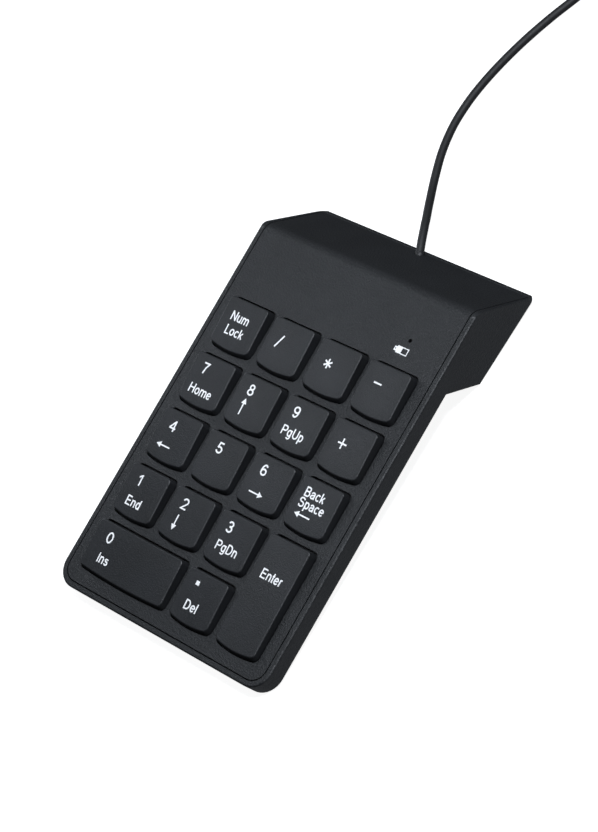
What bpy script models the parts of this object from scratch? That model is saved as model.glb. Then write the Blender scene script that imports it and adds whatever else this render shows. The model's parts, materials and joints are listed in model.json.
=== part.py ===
"""Numeric keypad: a thin wedge with a block along its back edge, eighteen keys over rubber domes, and a cord.

The keypad is modelled lying flat in its own deck frame: X to the right, Y away from the user with the front
edge at 0, Z up from the deck with the deck's surface at 0. One empty then tilts it onto its four feet, so that
it stands on Z = 0 of the scene, centred on the origin. The cord lies on that same surface and is modelled there
directly. All lengths are in metres.
"""

import math

import bmesh
import bpy
from mathutils import Matrix, Vector

# ---------------------------------------------------------------- case
CASE_WIDTH = 0.0860
DECK_LENGTH = 0.1226  # front edge to the line where the deck turns down to the rear slope
REAR_SLOPE_ANGLE = math.radians(54.5)  # below the deck
REAR_BEND_RADIUS = 0.0046
SLAB_DEPTH = 0.00635  # the thin front part
BLOCK_START = 0.0990  # where the underside turns down into the block
BLOCK_FRONT = (0.1078, -0.0189)  # front edge of the block's underside, (Y, Z)
BLOCK_REAR = (0.1374, -0.0213)  # rear edge of the block's underside, on the rear slope
FRONT_CORNER_RADIUS = 0.0067
REAR_CORNER_RADIUS = 0.0030
SIDE_DRAFT = 0.045  # inward run of the side walls per unit of depth
RIM_WIDTH = 0.00175  # the bottom case's rim, left showing round the top cover
SEAM = 0.00035
RIM_ROUNDING = 0.0006
CASE_WALL = 0.0010
COVER_WALL = 0.0014
PLANE_LIMIT = 0.0400  # how far side-view outlines reach past the case
CUT_DEPTH = 0.0300  # how far down upright cutters reach
CUT_HEIGHT = 0.0050  # how far up they reach
CORNER_SEGMENTS = 9
BEND_SEGMENTS = 12
RIM_SEGMENTS = 4

# ---------------------------------------------------------------- keys
PITCH = 0.0190
FIRST_COLUMN_X = -0.0285
FIRST_ROW_Y = 0.09045  # centre of the rearmost row
KEY_TOP_WIDTH = 0.0156
KEY_TOP_REAR = 0.0079  # from the key's centre to the rear edge of its top
KEY_TOP_FRONT = 0.0077  # from the centre to the middle of the front edge
KEY_BASE_WIDTH = 0.0163
KEY_BASE_DEPTH = 0.0163
KEY_BOW = 0.0010  # how far the front edge bows out between its corners
WIDE_KEY_BOW = 0.0007
KEY_SKIRT_Z = -0.0002
KEY_REAR_Z = 0.0030
KEY_FRONT_Z = 0.0018
KEY_CORNER_RADIUS = 0.0014
KEY_SEGMENTS = 2
KEY_EDGE_ROUNDING = 0.0005
KEY_WALL = 0.0010
SKIRT_TRIM = 0.00004  # cut off level below the walls, which lean
KEY_GAP = 0.0003
REAR_KEY_GAP = 0.0006  # the gap behind a key is wider than the one round the rest of it
KEY_TRAVEL = 0.0019
TRAVEL_CLEARANCE = 0.0001

# ---------------------------------------------------------------- guides, stems and domes
WELL_FLOOR_TOP = KEY_SKIRT_Z - KEY_TRAVEL - TRAVEL_CLEARANCE
WELL_FLOOR_BOTTOM = -0.0031
WELL_CORNER_RADIUS = 0.0017
WELL_SEGMENTS = 4
WELL_STEP = 0.0025  # how far behind the last wells the thick part of the cover ends
COLLAR_RADIUS = 0.0060
COLLAR_TOP = -0.0012
COLLAR_BOTTOM = -0.0040
BORE_RADIUS = 0.0053
STEM_RADIUS = 0.0050
STEM_HOLLOW_RADIUS = 0.0044
STEM_BOTTOM = -0.0025
STEM_ROOT_TOP = 0.0019
STEM_ROOT_BOTTOM = 0.0010
PLUNGER_RADIUS = 0.0015
PLUNGER_BOTTOM = -0.0009
STEM_SIDES = 12
DOME_BASE_RADIUS = 0.0040
DOME_BASE_Z = -0.00456
DOME_TOP_Z = -0.0010
DOME_SIDES = 10

# ---------------------------------------------------------------- sheets under the keys
SHEET_MARGIN = 0.0045
SHEET_LENGTH = 0.0965
SHEET_CORNER_RADIUS = 0.0030
MEMBRANE_TOP_Z = (-0.00470, -0.00460)
MEMBRANE_BOTTOM_Z = (-0.00486, -0.00476)
BACKING_PLATE_Z = (-0.00530, -0.00492)

# ---------------------------------------------------------------- screws, with their posts and bosses
SLAB_SCREWS = ((-0.0190, 0.04295), (0.0190, 0.04295))
BLOCK_SCREWS = ((-0.0360, 0.1130), (0.0360, 0.1130))
SCREW_HEAD_RADIUS = 0.0019
SCREW_SHANK_RADIUS = 0.00095
SCREW_HEAD_DEPTH = 0.0009
BOSS_RADIUS = 0.0032
CLEAR_HOLE_RADIUS = 0.00115
PILOT_HOLE_RADIUS = 0.00105
HEAD_POCKET_RADIUS = 0.0022
POST_RADIUS = 0.0026
SLAB_BOSS_TOP = -0.0032
SLAB_HEAD_POCKET_TOP = -0.0053
BLOCK_BOSS_TOP = -0.0143
BLOCK_HEAD_POCKET_TOP = -0.0178
BLOCK_POST_BOTTOM = -0.0142

# ---------------------------------------------------------------- electronics
BOARD_SIZE = (0.0620, 0.0140, 0.0010)
BOARD_CENTRE = (0.0, 0.1115, -0.0075)
CHIP_SIZE = (0.0100, 0.0080, 0.0012)
CHIP_CENTRE = (-0.0080, 0.1115, -0.00635)
BOARD_CORNER = 0.0004
RIB_X = 0.0200
RIB_SIZE = (0.0012, 0.0100)
LIGHT_PLACE = (0.02715, 0.10775)
LIGHT_RADIUS = 0.0005
LIGHT_HOLE_RADIUS = 0.00062
LIGHT_PIPE_Z = (-0.0069, -0.0005)

# ---------------------------------------------------------------- feet
FOOT_X = 0.0330
FRONT_FOOT_Y = 0.0100
REAR_FOOT_Y = 0.1226
FRONT_FOOT_HEIGHT = 0.0018
REAR_FOOT_HEIGHT = 0.0010
FOOT_SIZE = (0.0140, 0.0070)
FOOT_CORNER_RADIUS = 0.0025
FOOT_GAP = 0.00008

# ---------------------------------------------------------------- cord, in the frame of the surface it lies on
CORD_RADIUS = 0.0013
CORD_EXIT_HEIGHT = 0.0035
CORD_NOTCH_RADIUS = 0.00165
RELIEF_RADIUS = 0.0015
RELIEF_Y = (0.0600, 0.0684)
TUBE_GAP = 0.0003
LEAD_ROUTE = (
    (0.0000, 0.0691, 0.0035),
    (-0.0005, 0.0707, 0.0037),
    (-0.0023, 0.0733, 0.0037),
    (-0.0050, 0.0768, 0.0032),
    (-0.0085, 0.0820, 0.0021),
    (-0.0124, 0.0897, 0.0014),
    (-0.0150, 0.0950, 0.0013),
    (-0.0170, 0.1003, 0.0013),
    (-0.0185, 0.1058, 0.0013),
    (-0.0195, 0.1130, 0.0013),
    (-0.0194, 0.1220, 0.0013),
    (-0.0180, 0.1320, 0.0013),
    (-0.0153, 0.1430, 0.0013),
    (-0.0115, 0.1540, 0.0013),
    (-0.0070, 0.1645, 0.0013),
    (-0.0035, 0.1735, 0.0013),
)
TAIL_ROUTE = (
    (0.0300, 0.1960, 0.0075),
    (0.0345, 0.1948, 0.0055),
    (0.0390, 0.1920, 0.0038),
    (0.0425, 0.1880, 0.0032),
    (0.0443, 0.1835, 0.0036),
    (0.0448, 0.1795, 0.0040),
)
TUBE_SPACING = 0.0058
COIL_CENTRE = (0.0160, 0.1780)
COIL_MIDDLE_RADIUS = 0.0140
COIL_TURNS_WIDE = 3
COIL_TURNS_HIGH = 4
COIL_SIDES = 24
PLUG_X = 0.0448
PLUG_HEIGHT = 0.0040
PLUG_RELIEF_Y = 0.1792
PLUG_RELIEF_LENGTH = 0.0080
PLUG_RELIEF_RADII = (0.0026, 0.0018)
PLUG_GRIP_SIZE = (0.0156, 0.0230, 0.0078)
PLUG_GRIP_ROUNDING = 0.0014
PLUG_TAIL_ROOT = 0.0010  # how far the tail starts inside the grip
PLUG_SHELL_SIZE = (0.0120, 0.0120, 0.0045)
PLUG_SHELL_WALL = 0.0004

# Column and row of each key's first place, and how many places it takes each way.
KEYS = {
    "num_lock": (0, 0, 1, 1),
    "divide": (1, 0, 1, 1),
    "multiply": (2, 0, 1, 1),
    "minus": (3, 0, 1, 1),
    "7": (0, 1, 1, 1),
    "8": (1, 1, 1, 1),
    "9": (2, 1, 1, 1),
    "plus": (3, 1, 1, 1),
    "4": (0, 2, 1, 1),
    "5": (1, 2, 1, 1),
    "6": (2, 2, 1, 1),
    "backspace": (3, 2, 1, 1),
    "1": (0, 3, 1, 1),
    "2": (1, 3, 1, 1),
    "3": (2, 3, 1, 1),
    "enter": (3, 3, 1, 2),
    "0": (0, 4, 2, 1),
    "decimal": (2, 4, 1, 1),
}


# ---------------------------------------------------------------- lines in the (Y, Z) side view
def line_height(start, end, y):
    """Height at y of the straight line through two (Y, Z) points."""
    return start[1] + (y - start[0]) * (end[1] - start[1]) / (end[0] - start[0])


def meeting(a, b, c, d):
    """Point where the line a-b meets the line c-d."""
    ab = Vector(b) - Vector(a)
    cd = Vector(d) - Vector(c)
    ac = Vector(c) - Vector(a)
    along = (ac.x * cd.y - ac.y * cd.x) / (ab.x * cd.y - ab.y * cd.x)
    return Vector(a) + ab * along


def raised(path, distance):
    """The path moved sideways by the distance, to the left of its direction, with mitred corners."""
    sides = []
    for start, end in zip(path, path[1:]):
        direction = (Vector(end) - Vector(start)).normalized()
        shift = Vector((-direction.y, direction.x)) * distance
        sides.append((Vector(start) + shift, Vector(end) + shift))
    corners = [meeting(*first, *second) for first, second in zip(sides, sides[1:])]
    return [sides[0][0], *corners, sides[-1][1]]


def underside_path():
    """The case's underside from in front of the slab to behind the block."""
    behind = BLOCK_REAR[0] + PLANE_LIMIT
    return [
        (-PLANE_LIMIT, -SLAB_DEPTH),
        (BLOCK_START, -SLAB_DEPTH),
        BLOCK_FRONT,
        (behind, line_height(BLOCK_FRONT, BLOCK_REAR, behind)),
    ]


def rear_path(depth):
    """The bend and the rear slope, at a depth below the outer surface: an arc, then a straight line."""
    tangent = REAR_BEND_RADIUS * math.tan(REAR_SLOPE_ANGLE / 2)
    centre = Vector((DECK_LENGTH - tangent, -REAR_BEND_RADIUS))
    path = []
    for step in range(BEND_SEGMENTS + 1):
        angle = REAR_SLOPE_ANGLE * step / BEND_SEGMENTS
        outward = Vector((math.sin(angle), math.cos(angle)))
        path.append(centre + outward * (REAR_BEND_RADIUS - depth))
    down = Vector((math.cos(REAR_SLOPE_ANGLE), -math.sin(REAR_SLOPE_ANGLE)))
    path.append(path[-1] + down * PLANE_LIMIT)
    return path


# ---------------------------------------------------------------- where the case stands
FRONT_CONTACT = Vector((FRONT_FOOT_Y, -SLAB_DEPTH - FRONT_FOOT_HEIGHT))
REAR_CONTACT = Vector((REAR_FOOT_Y, line_height(BLOCK_FRONT, BLOCK_REAR, REAR_FOOT_Y) - REAR_FOOT_HEIGHT))
TILT = math.atan2(FRONT_CONTACT.y - REAR_CONTACT.y, REAR_CONTACT.x - FRONT_CONTACT.x)


def stand_matrix():
    """Deck frame to standing frame: tilted onto the feet, centred over the origin."""
    turn = Matrix.Rotation(TILT, 4, "X")
    front = (turn @ Vector((0.0, 0.0, -RIM_ROUNDING))).y
    rear = (turn @ Vector((0.0, *BLOCK_REAR))).y
    floor = (turn @ Vector((0.0, *REAR_CONTACT))).z
    return Matrix.Translation((0.0, -(front + rear) / 2, -floor)) @ turn


# ---------------------------------------------------------------- scene set-up and small tools
def clear_scene():
    for obj in list(bpy.data.objects):
        bpy.data.objects.remove(obj, do_unlink=True)


def add_collection(name):
    made = bpy.data.collections.new(name)
    bpy.context.scene.collection.children.link(made)
    return made


def add_material(name, colour, roughness, metallic=0.0):
    made = bpy.data.materials.new(name)
    made.use_nodes = True
    shader = made.node_tree.nodes["Principled BSDF"]
    shader.inputs["Base Color"].default_value = (*colour, 1.0)
    shader.inputs["Roughness"].default_value = roughness
    shader.inputs["Metallic"].default_value = metallic
    made.diffuse_color = (*colour, 1.0)
    return made


clear_scene()
PARTS = add_collection("numeric_keypad")
CUTTERS = add_collection("cutters")
STAND = bpy.data.objects.new("stand", None)
PARTS.objects.link(STAND)
STAND.matrix_world = stand_matrix()

CASE_PLASTIC = add_material("case_plastic", (0.040, 0.043, 0.047), 0.55)
KEY_PLASTIC = add_material("key_plastic", (0.034, 0.037, 0.041), 0.50)
DOME_RUBBER = add_material("dome_rubber", (0.55, 0.56, 0.55), 0.60)
FOOT_RUBBER = add_material("foot_rubber", (0.020, 0.020, 0.020), 0.85)
CORD_JACKET = add_material("cord_jacket", (0.022, 0.023, 0.025), 0.45)
SCREW_STEEL = add_material("screw_steel", (0.35, 0.35, 0.36), 0.30, 1.0)
PLATE_STEEL = add_material("plate_steel", (0.55, 0.56, 0.57), 0.35, 1.0)
SHEET_FILM = add_material("sheet_film", (0.62, 0.64, 0.62), 0.40)
BOARD_LAMINATE = add_material("board_laminate", (0.03, 0.16, 0.07), 0.45)
CHIP_EPOXY = add_material("chip_epoxy", (0.015, 0.015, 0.016), 0.35)
LIGHT_ACRYLIC = add_material("light_acrylic", (0.50, 0.52, 0.50), 0.20)


def add_object(name, mesh, material, in_deck_frame=True):
    """A part: it hangs from the tilted stand, or stays in the standing frame."""
    obj = bpy.data.objects.new(name, mesh)
    PARTS.objects.link(obj)
    if not mesh.materials:
        mesh.materials.append(material)
    if in_deck_frame:
        obj.parent = STAND
    return obj


def add_cutter(name, mesh, in_deck_frame=True):
    obj = bpy.data.objects.new(name, mesh)
    CUTTERS.objects.link(obj)
    obj.hide_render = True
    obj.display_type = "WIRE"
    if in_deck_frame:
        obj.parent = STAND
    return obj


def combine(target, tool, operation):
    modifier = target.modifiers.new(f"{operation.lower()}_{tool.name}", "BOOLEAN")
    modifier.operation = operation
    modifier.object = tool
    return target


def mesh_of(name, bm):
    mesh = bpy.data.meshes.new(name)
    bm.to_mesh(mesh)
    bm.free()
    return mesh


def finished_mesh(obj, name):
    """The object's mesh with its modifiers carried out, in the object's own frame."""
    bpy.context.view_layer.update()
    graph = bpy.context.evaluated_depsgraph_get()
    mesh = bpy.data.meshes.new_from_object(obj.evaluated_get(graph))
    mesh.name = name
    bm = bmesh.new()
    bm.from_mesh(mesh)
    bmesh.ops.remove_doubles(bm, verts=bm.verts, dist=1e-7)
    bm.to_mesh(mesh)
    bm.free()
    return mesh


def upright_edges(bm, wanted):
    """Vertical edges whose middle satisfies the test."""
    found = []
    for edge in bm.edges:
        a, b = (v.co for v in edge.verts)
        if (a - b).xy.length < 1e-9 and wanted((a + b) / 2):
            found.append(edge)
    return found


def round_edges(bm, edges, radius, segments):
    bmesh.ops.bevel(bm, geom=edges, offset=radius, segments=segments, profile=0.5, affect="EDGES", material=-1)


def add_box(bm, low, high):
    """A box between two corners, as a new island of the bmesh."""
    low = Vector(low)
    high = Vector(high)
    place = Matrix.Translation((low + high) / 2) @ Matrix.Diagonal((*(high - low), 1.0))
    return bmesh.ops.create_cube(bm, size=1.0, matrix=place)["verts"]


def rounded_box(name, low, high, radius, segments=2):
    """A box mesh with rounded upright corners."""
    bm = bmesh.new()
    add_box(bm, low, high)
    round_edges(bm, upright_edges(bm, lambda middle: True), radius, segments)
    return mesh_of(name, bm)


def add_cylinder(bm, place, bottom, top, radius, sides):
    middle = Matrix.Translation((*place, (bottom + top) / 2))
    bmesh.ops.create_cone(
        bm, cap_ends=True, segments=sides, radius1=radius, radius2=radius, depth=top - bottom, matrix=middle
    )


def bowed_block(low, high, corner, bow, segments):
    """A block with rounded upright corners, whose front side bows out as far as low in its middle."""
    front = low[1] + bow
    bm = bmesh.new()
    add_box(bm, (low[0], front, low[2]), high)
    round_edges(bm, upright_edges(bm, lambda middle: True), corner, segments)
    at_front = [edge for edge in bm.edges if all(v.co.y < front + 1e-6 for v in edge.verts)]
    level = [edge for edge in at_front if abs(edge.verts[0].co.z - edge.verts[1].co.z) < 1e-6]
    bmesh.ops.subdivide_edges(bm, edges=level, cuts=2 * segments - 1, use_grid_fill=True)
    centre = (low[0] + high[0]) / 2
    half = (high[0] - low[0]) / 2
    for v in bm.verts:
        if v.co.y < front + corner:
            v.co.y -= bow * (1 - ((v.co.x - centre) / half) ** 2)
    return bm


def cylinders(name, places, bottom, top, radius, sides=STEM_SIDES):
    """One mesh holding a cylinder at each place."""
    bm = bmesh.new()
    for place in places:
        add_cylinder(bm, place, bottom, top, radius, sides)
    return mesh_of(name, bm)


def side_prism(name, outline):
    """A solid with this (Y, Z) outline, reaching past both sides of the case."""
    curve = bpy.data.curves.new(name, "CURVE")
    curve.dimensions = "2D"
    curve.fill_mode = "BOTH"
    curve.extrude = CASE_WIDTH
    spline = curve.splines.new("POLY")
    spline.points.add(len(outline) - 1)
    for point, corner in zip(spline.points, outline):
        point.co = (corner[0], corner[1], 0.0, 1.0)
    spline.use_cyclic_u = True
    flat = bpy.data.objects.new(name, curve)
    CUTTERS.objects.link(flat)
    mesh = finished_mesh(flat, name)
    bpy.data.objects.remove(flat)
    mesh.transform(Matrix(((0, 0, 1, 0), (1, 0, 0, 0), (0, 1, 0, 0), (0, 0, 0, 1))))
    return add_cutter(name, mesh)


def turned(name, profile, steps):
    """A mesh made by turning an (R, Z) profile about Z. A ring's profile is closed by repeating its first point."""
    closed = profile[0] == profile[-1]
    points = profile[:-1] if closed else profile
    bm = bmesh.new()
    verts = [bm.verts.new((r, 0.0, z)) for r, z in points]
    for first, second in zip(verts, verts[1:]):
        bm.edges.new((first, second))
    if closed:
        bm.edges.new((verts[-1], verts[0]))
    guide = bpy.data.objects.new(name, mesh_of(name, bm))
    CUTTERS.objects.link(guide)
    screw = guide.modifiers.new("turn", "SCREW")
    screw.steps = steps
    screw.render_steps = steps
    screw.use_merge_vertices = True
    screw.merge_threshold = 1e-5
    mesh = finished_mesh(guide, name)
    bpy.data.objects.remove(guide)
    return mesh


# ---------------------------------------------------------------- case
def plan_block(inset, rear, top, bottom, drafted=False):
    """An upright block on the case's plan outline, inset from its front and sides, with rounded corners."""
    half = CASE_WIDTH / 2 - inset
    middle = (inset + rear) / 2
    bm = bmesh.new()
    add_box(bm, (-half, inset, bottom), (half, rear, top))
    front = upright_edges(bm, lambda point: point.y < middle)
    round_edges(bm, front, FRONT_CORNER_RADIUS - inset, CORNER_SEGMENTS)
    back = upright_edges(bm, lambda point: point.y > rear - 1e-6)
    round_edges(bm, back, max(REAR_CORNER_RADIUS - inset, 0.001), CORNER_SEGMENTS)
    if drafted:
        rim = [edge for edge in bm.edges if all(v.co.z > top - 1e-6 for v in edge.verts)]
        round_edges(bm, rim, RIM_ROUNDING, RIM_SEGMENTS)
        for v in bm.verts:
            depth = max(-RIM_ROUNDING - v.co.z, 0.0)
            v.co.x -= math.copysign(depth * SIDE_DRAFT, v.co.x)
            if v.co.y < middle:
                v.co.y += depth * SIDE_DRAFT
    return bm


def below(path):
    """Closed outline of everything under a path that runs from the front to the rear."""
    low = -3 * PLANE_LIMIT
    return [*path, (path[-1][0], low), (path[0][0], low)]


def behind_case():
    """Outline of the space behind the bend and the rear slope."""
    path = rear_path(0.0)
    lead_in = path[0] + (path[0] - path[1]).normalized() * 0.010
    high = 0.010
    far = path[-1].x + PLANE_LIMIT
    return [lead_in, *path, (far, path[-1].y), (far, high), (lead_in.x, high)]


def case_end():
    """Rear end of the blocks that are cut back to the slope."""
    return BLOCK_REAR[0] + 0.0010


def key_place(key):
    """Centre of a key in the deck frame, and how much longer it is than a single key each way."""
    column, row, wide, deep = KEYS[key]
    x = FIRST_COLUMN_X + PITCH * (column + (wide - 1) / 2)
    y = FIRST_ROW_Y - PITCH * (row + (deep - 1) / 2)
    return x, y, PITCH * (wide - 1), PITCH * (deep - 1)


def key_bow(more_x):
    return WIDE_KEY_BOW if more_x else KEY_BOW


def make_bottom_case(rear_cutter, notch):
    block = plan_block(0.0, case_end(), 0.0, -CUT_DEPTH, drafted=True)
    case = add_object("bottom_case", mesh_of("bottom_case", block), CASE_PLASTIC)
    combine(case, rear_cutter, "DIFFERENCE")
    combine(case, side_prism("under_case", below(underside_path())), "DIFFERENCE")

    inside = bmesh.new()
    half = CASE_WIDTH / 2 - RIM_WIDTH
    add_box(inside, (-half, RIM_WIDTH, -CUT_DEPTH), (half, case_end() + CUT_HEIGHT, CUT_HEIGHT))
    front = upright_edges(inside, lambda point: point.y < RIM_WIDTH + 1e-6)
    round_edges(inside, front, FRONT_CORNER_RADIUS - RIM_WIDTH, CORNER_SEGMENTS)
    cavity = add_cutter("cavity", mesh_of("cavity", inside))
    floor = raised(underside_path(), CASE_WALL)
    combine(cavity, side_prism("under_floor", below(floor)), "DIFFERENCE")
    combine(case, cavity, "DIFFERENCE")

    slab_bosses = cylinders("slab_bosses", SLAB_SCREWS, -SLAB_DEPTH + CASE_WALL / 2, SLAB_BOSS_TOP, BOSS_RADIUS)
    combine(case, add_cutter("slab_bosses", slab_bosses), "UNION")
    block_floor = line_height(BLOCK_FRONT, BLOCK_REAR, BLOCK_SCREWS[0][1]) + CASE_WALL / 2
    block_bosses = cylinders("block_bosses", BLOCK_SCREWS, block_floor, BLOCK_BOSS_TOP, BOSS_RADIUS)
    combine(case, add_cutter("block_bosses", block_bosses), "UNION")

    ribs = bmesh.new()
    board_bottom = BOARD_CENTRE[2] - BOARD_SIZE[2] / 2
    for side in (-1, 1):
        x = side * RIB_X
        low = (x - RIB_SIZE[0] / 2, BOARD_CENTRE[1] - RIB_SIZE[1] / 2, block_floor)
        high = (x + RIB_SIZE[0] / 2, BOARD_CENTRE[1] + RIB_SIZE[1] / 2, board_bottom - TRAVEL_CLEARANCE)
        add_box(ribs, low, high)
    combine(case, add_cutter("board_ribs", mesh_of("board_ribs", ribs)), "UNION")

    holes = bmesh.new()
    for place in SLAB_SCREWS + BLOCK_SCREWS:
        add_cylinder(holes, place, -CUT_DEPTH, CUT_HEIGHT, CLEAR_HOLE_RADIUS, STEM_SIDES)
    combine(case, add_cutter("screw_holes", mesh_of("screw_holes", holes)), "DIFFERENCE")
    pockets = bmesh.new()
    for place in SLAB_SCREWS:
        add_cylinder(pockets, place, -CUT_DEPTH, SLAB_HEAD_POCKET_TOP, HEAD_POCKET_RADIUS, STEM_SIDES)
    for place in BLOCK_SCREWS:
        add_cylinder(pockets, place, -CUT_DEPTH, BLOCK_HEAD_POCKET_TOP, HEAD_POCKET_RADIUS, STEM_SIDES)
    combine(case, add_cutter("head_pockets", mesh_of("head_pockets", pockets)), "DIFFERENCE")
    combine(case, notch, "DIFFERENCE")


def cover_underside():
    """The cover's inner surface: thick under the keys, thin behind them, then down inside the rear slope."""
    bend = rear_path(COVER_WALL)
    floor = raised(underside_path(), CASE_WALL + KEY_GAP)
    foot = meeting(bend[-2], bend[-1], floor[-2], floor[-1])
    thick_to = FIRST_ROW_Y + KEY_BASE_DEPTH / 2 + WELL_STEP
    return [
        (-PLANE_LIMIT, WELL_FLOOR_BOTTOM),
        (thick_to, WELL_FLOOR_BOTTOM),
        (thick_to, -COVER_WALL),
        *bend[:-1],
        foot,
        floor[-1],
    ]


def make_top_cover(rear_cutter, notch):
    block = plan_block(RIM_WIDTH + SEAM, case_end(), 0.0, -CUT_DEPTH)
    cover = add_object("top_cover", mesh_of("top_cover", block), CASE_PLASTIC)
    combine(cover, rear_cutter, "DIFFERENCE")
    combine(cover, side_prism("under_cover", below(cover_underside())), "DIFFERENCE")

    wells = bmesh.new()
    for key in KEYS:
        x, y, more_x, more_y = key_place(key)
        half_x = (KEY_BASE_WIDTH + more_x) / 2 + KEY_GAP
        half_y = (KEY_BASE_DEPTH + more_y) / 2 + KEY_GAP
        low = (x - half_x, y - half_y, WELL_FLOOR_TOP)
        high = (x + half_x, y + (KEY_BASE_DEPTH + more_y) / 2 + REAR_KEY_GAP, CUT_HEIGHT)
        well = bowed_block(low, high, WELL_CORNER_RADIUS, key_bow(more_x), WELL_SEGMENTS)
        wells.from_mesh(mesh_of(f"well_{key}", well))
    combine(cover, add_cutter("wells", mesh_of("wells", wells)), "DIFFERENCE")

    centres = [key_place(key)[:2] for key in KEYS]
    collars = cylinders("collars", centres, COLLAR_BOTTOM, COLLAR_TOP, COLLAR_RADIUS)
    combine(cover, add_cutter("collars", collars), "UNION")
    bores = cylinders("bores", centres, COLLAR_BOTTOM - 0.001, COLLAR_TOP + 0.001, BORE_RADIUS)
    combine(cover, add_cutter("bores", bores), "DIFFERENCE")

    posts = cylinders("posts", BLOCK_SCREWS, BLOCK_POST_BOTTOM, -COVER_WALL / 2, POST_RADIUS)
    combine(cover, add_cutter("posts", posts), "UNION")
    pilots = bmesh.new()
    for place in SLAB_SCREWS:
        add_cylinder(pilots, place, -0.0050, -0.0012, PILOT_HOLE_RADIUS, STEM_SIDES)
    for place in BLOCK_SCREWS:
        add_cylinder(pilots, place, -0.0160, -0.0080, PILOT_HOLE_RADIUS, STEM_SIDES)
    combine(cover, add_cutter("pilot_holes", mesh_of("pilot_holes", pilots)), "DIFFERENCE")
    light = cylinders("light_hole", [LIGHT_PLACE], -0.0040, 0.0010, LIGHT_HOLE_RADIUS)
    combine(cover, add_cutter("light_hole", light), "DIFFERENCE")
    combine(cover, notch, "DIFFERENCE")


def make_screws():
    lengths = ((SLAB_SCREWS, SLAB_HEAD_POCKET_TOP, -0.0015), (BLOCK_SCREWS, BLOCK_HEAD_POCKET_TOP, -0.0085))
    for (places, seat, tip), label in zip(lengths, ("slab", "block")):
        seat -= FOOT_GAP
        profile = [
            (0.0, tip),
            (SCREW_SHANK_RADIUS * 0.6, tip),
            (SCREW_SHANK_RADIUS, tip - 0.0006),
            (SCREW_SHANK_RADIUS, seat),
            (SCREW_HEAD_RADIUS, seat),
            (SCREW_HEAD_RADIUS, seat - SCREW_HEAD_DEPTH * 0.6),
            (SCREW_HEAD_RADIUS * 0.6, seat - SCREW_HEAD_DEPTH),
            (0.0, seat - SCREW_HEAD_DEPTH),
        ]
        mesh = turned(f"{label}_screw", profile, STEM_SIDES)
        for side, (x, y) in zip(("left", "right"), places):
            screw = add_object(f"{label}_screw_{side}", mesh, SCREW_STEEL)
            screw.location = (x, y, 0.0)


def make_feet():
    """Rubber pads whose tops follow the underside and whose soles are level with the standing surface."""
    underside = underside_path()
    places = {"front": (FRONT_FOOT_Y, underside[0:2]), "rear": (REAR_FOOT_Y, underside[2:4])}
    for end, (y, line) in places.items():
        for side, x in (("left", -FOOT_X), ("right", FOOT_X)):
            bm = bmesh.new()
            half_x, half_y = FOOT_SIZE[0] / 2, FOOT_SIZE[1] / 2
            add_box(bm, (-half_x, -half_y, -1.0), (half_x, half_y, 1.0))
            round_edges(bm, upright_edges(bm, lambda middle: True), FOOT_CORNER_RADIUS, 3)
            for v in bm.verts:
                surface = line if v.co.z > 0 else (FRONT_CONTACT, REAR_CONTACT)
                gap = FOOT_GAP if v.co.z > 0 else 0.0
                v.co.z = line_height(*surface, y + v.co.y) - gap
            foot = add_object(f"{end}_foot_{side}", mesh_of(f"{end}_foot_{side}", bm), FOOT_RUBBER)
            foot.location = (x, y, 0.0)


# ---------------------------------------------------------------- keys and domes
def taper_top(top, base, more):
    """Draws the top of a key in from its base outline, and slopes it down towards the front."""
    base_x, base_y = base
    more_x, more_y = more
    front = -KEY_TOP_FRONT - more_y / 2
    rear = KEY_TOP_REAR + more_y / 2
    for v in top:
        share = (v.co.y + base_y) / (2 * base_y)
        v.co.x *= (KEY_TOP_WIDTH + more_x) / 2 / base_x
        v.co.y = front + (rear - front) * share
        v.co.z = KEY_FRONT_Z + (KEY_REAR_Z - KEY_FRONT_Z) * share


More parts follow.
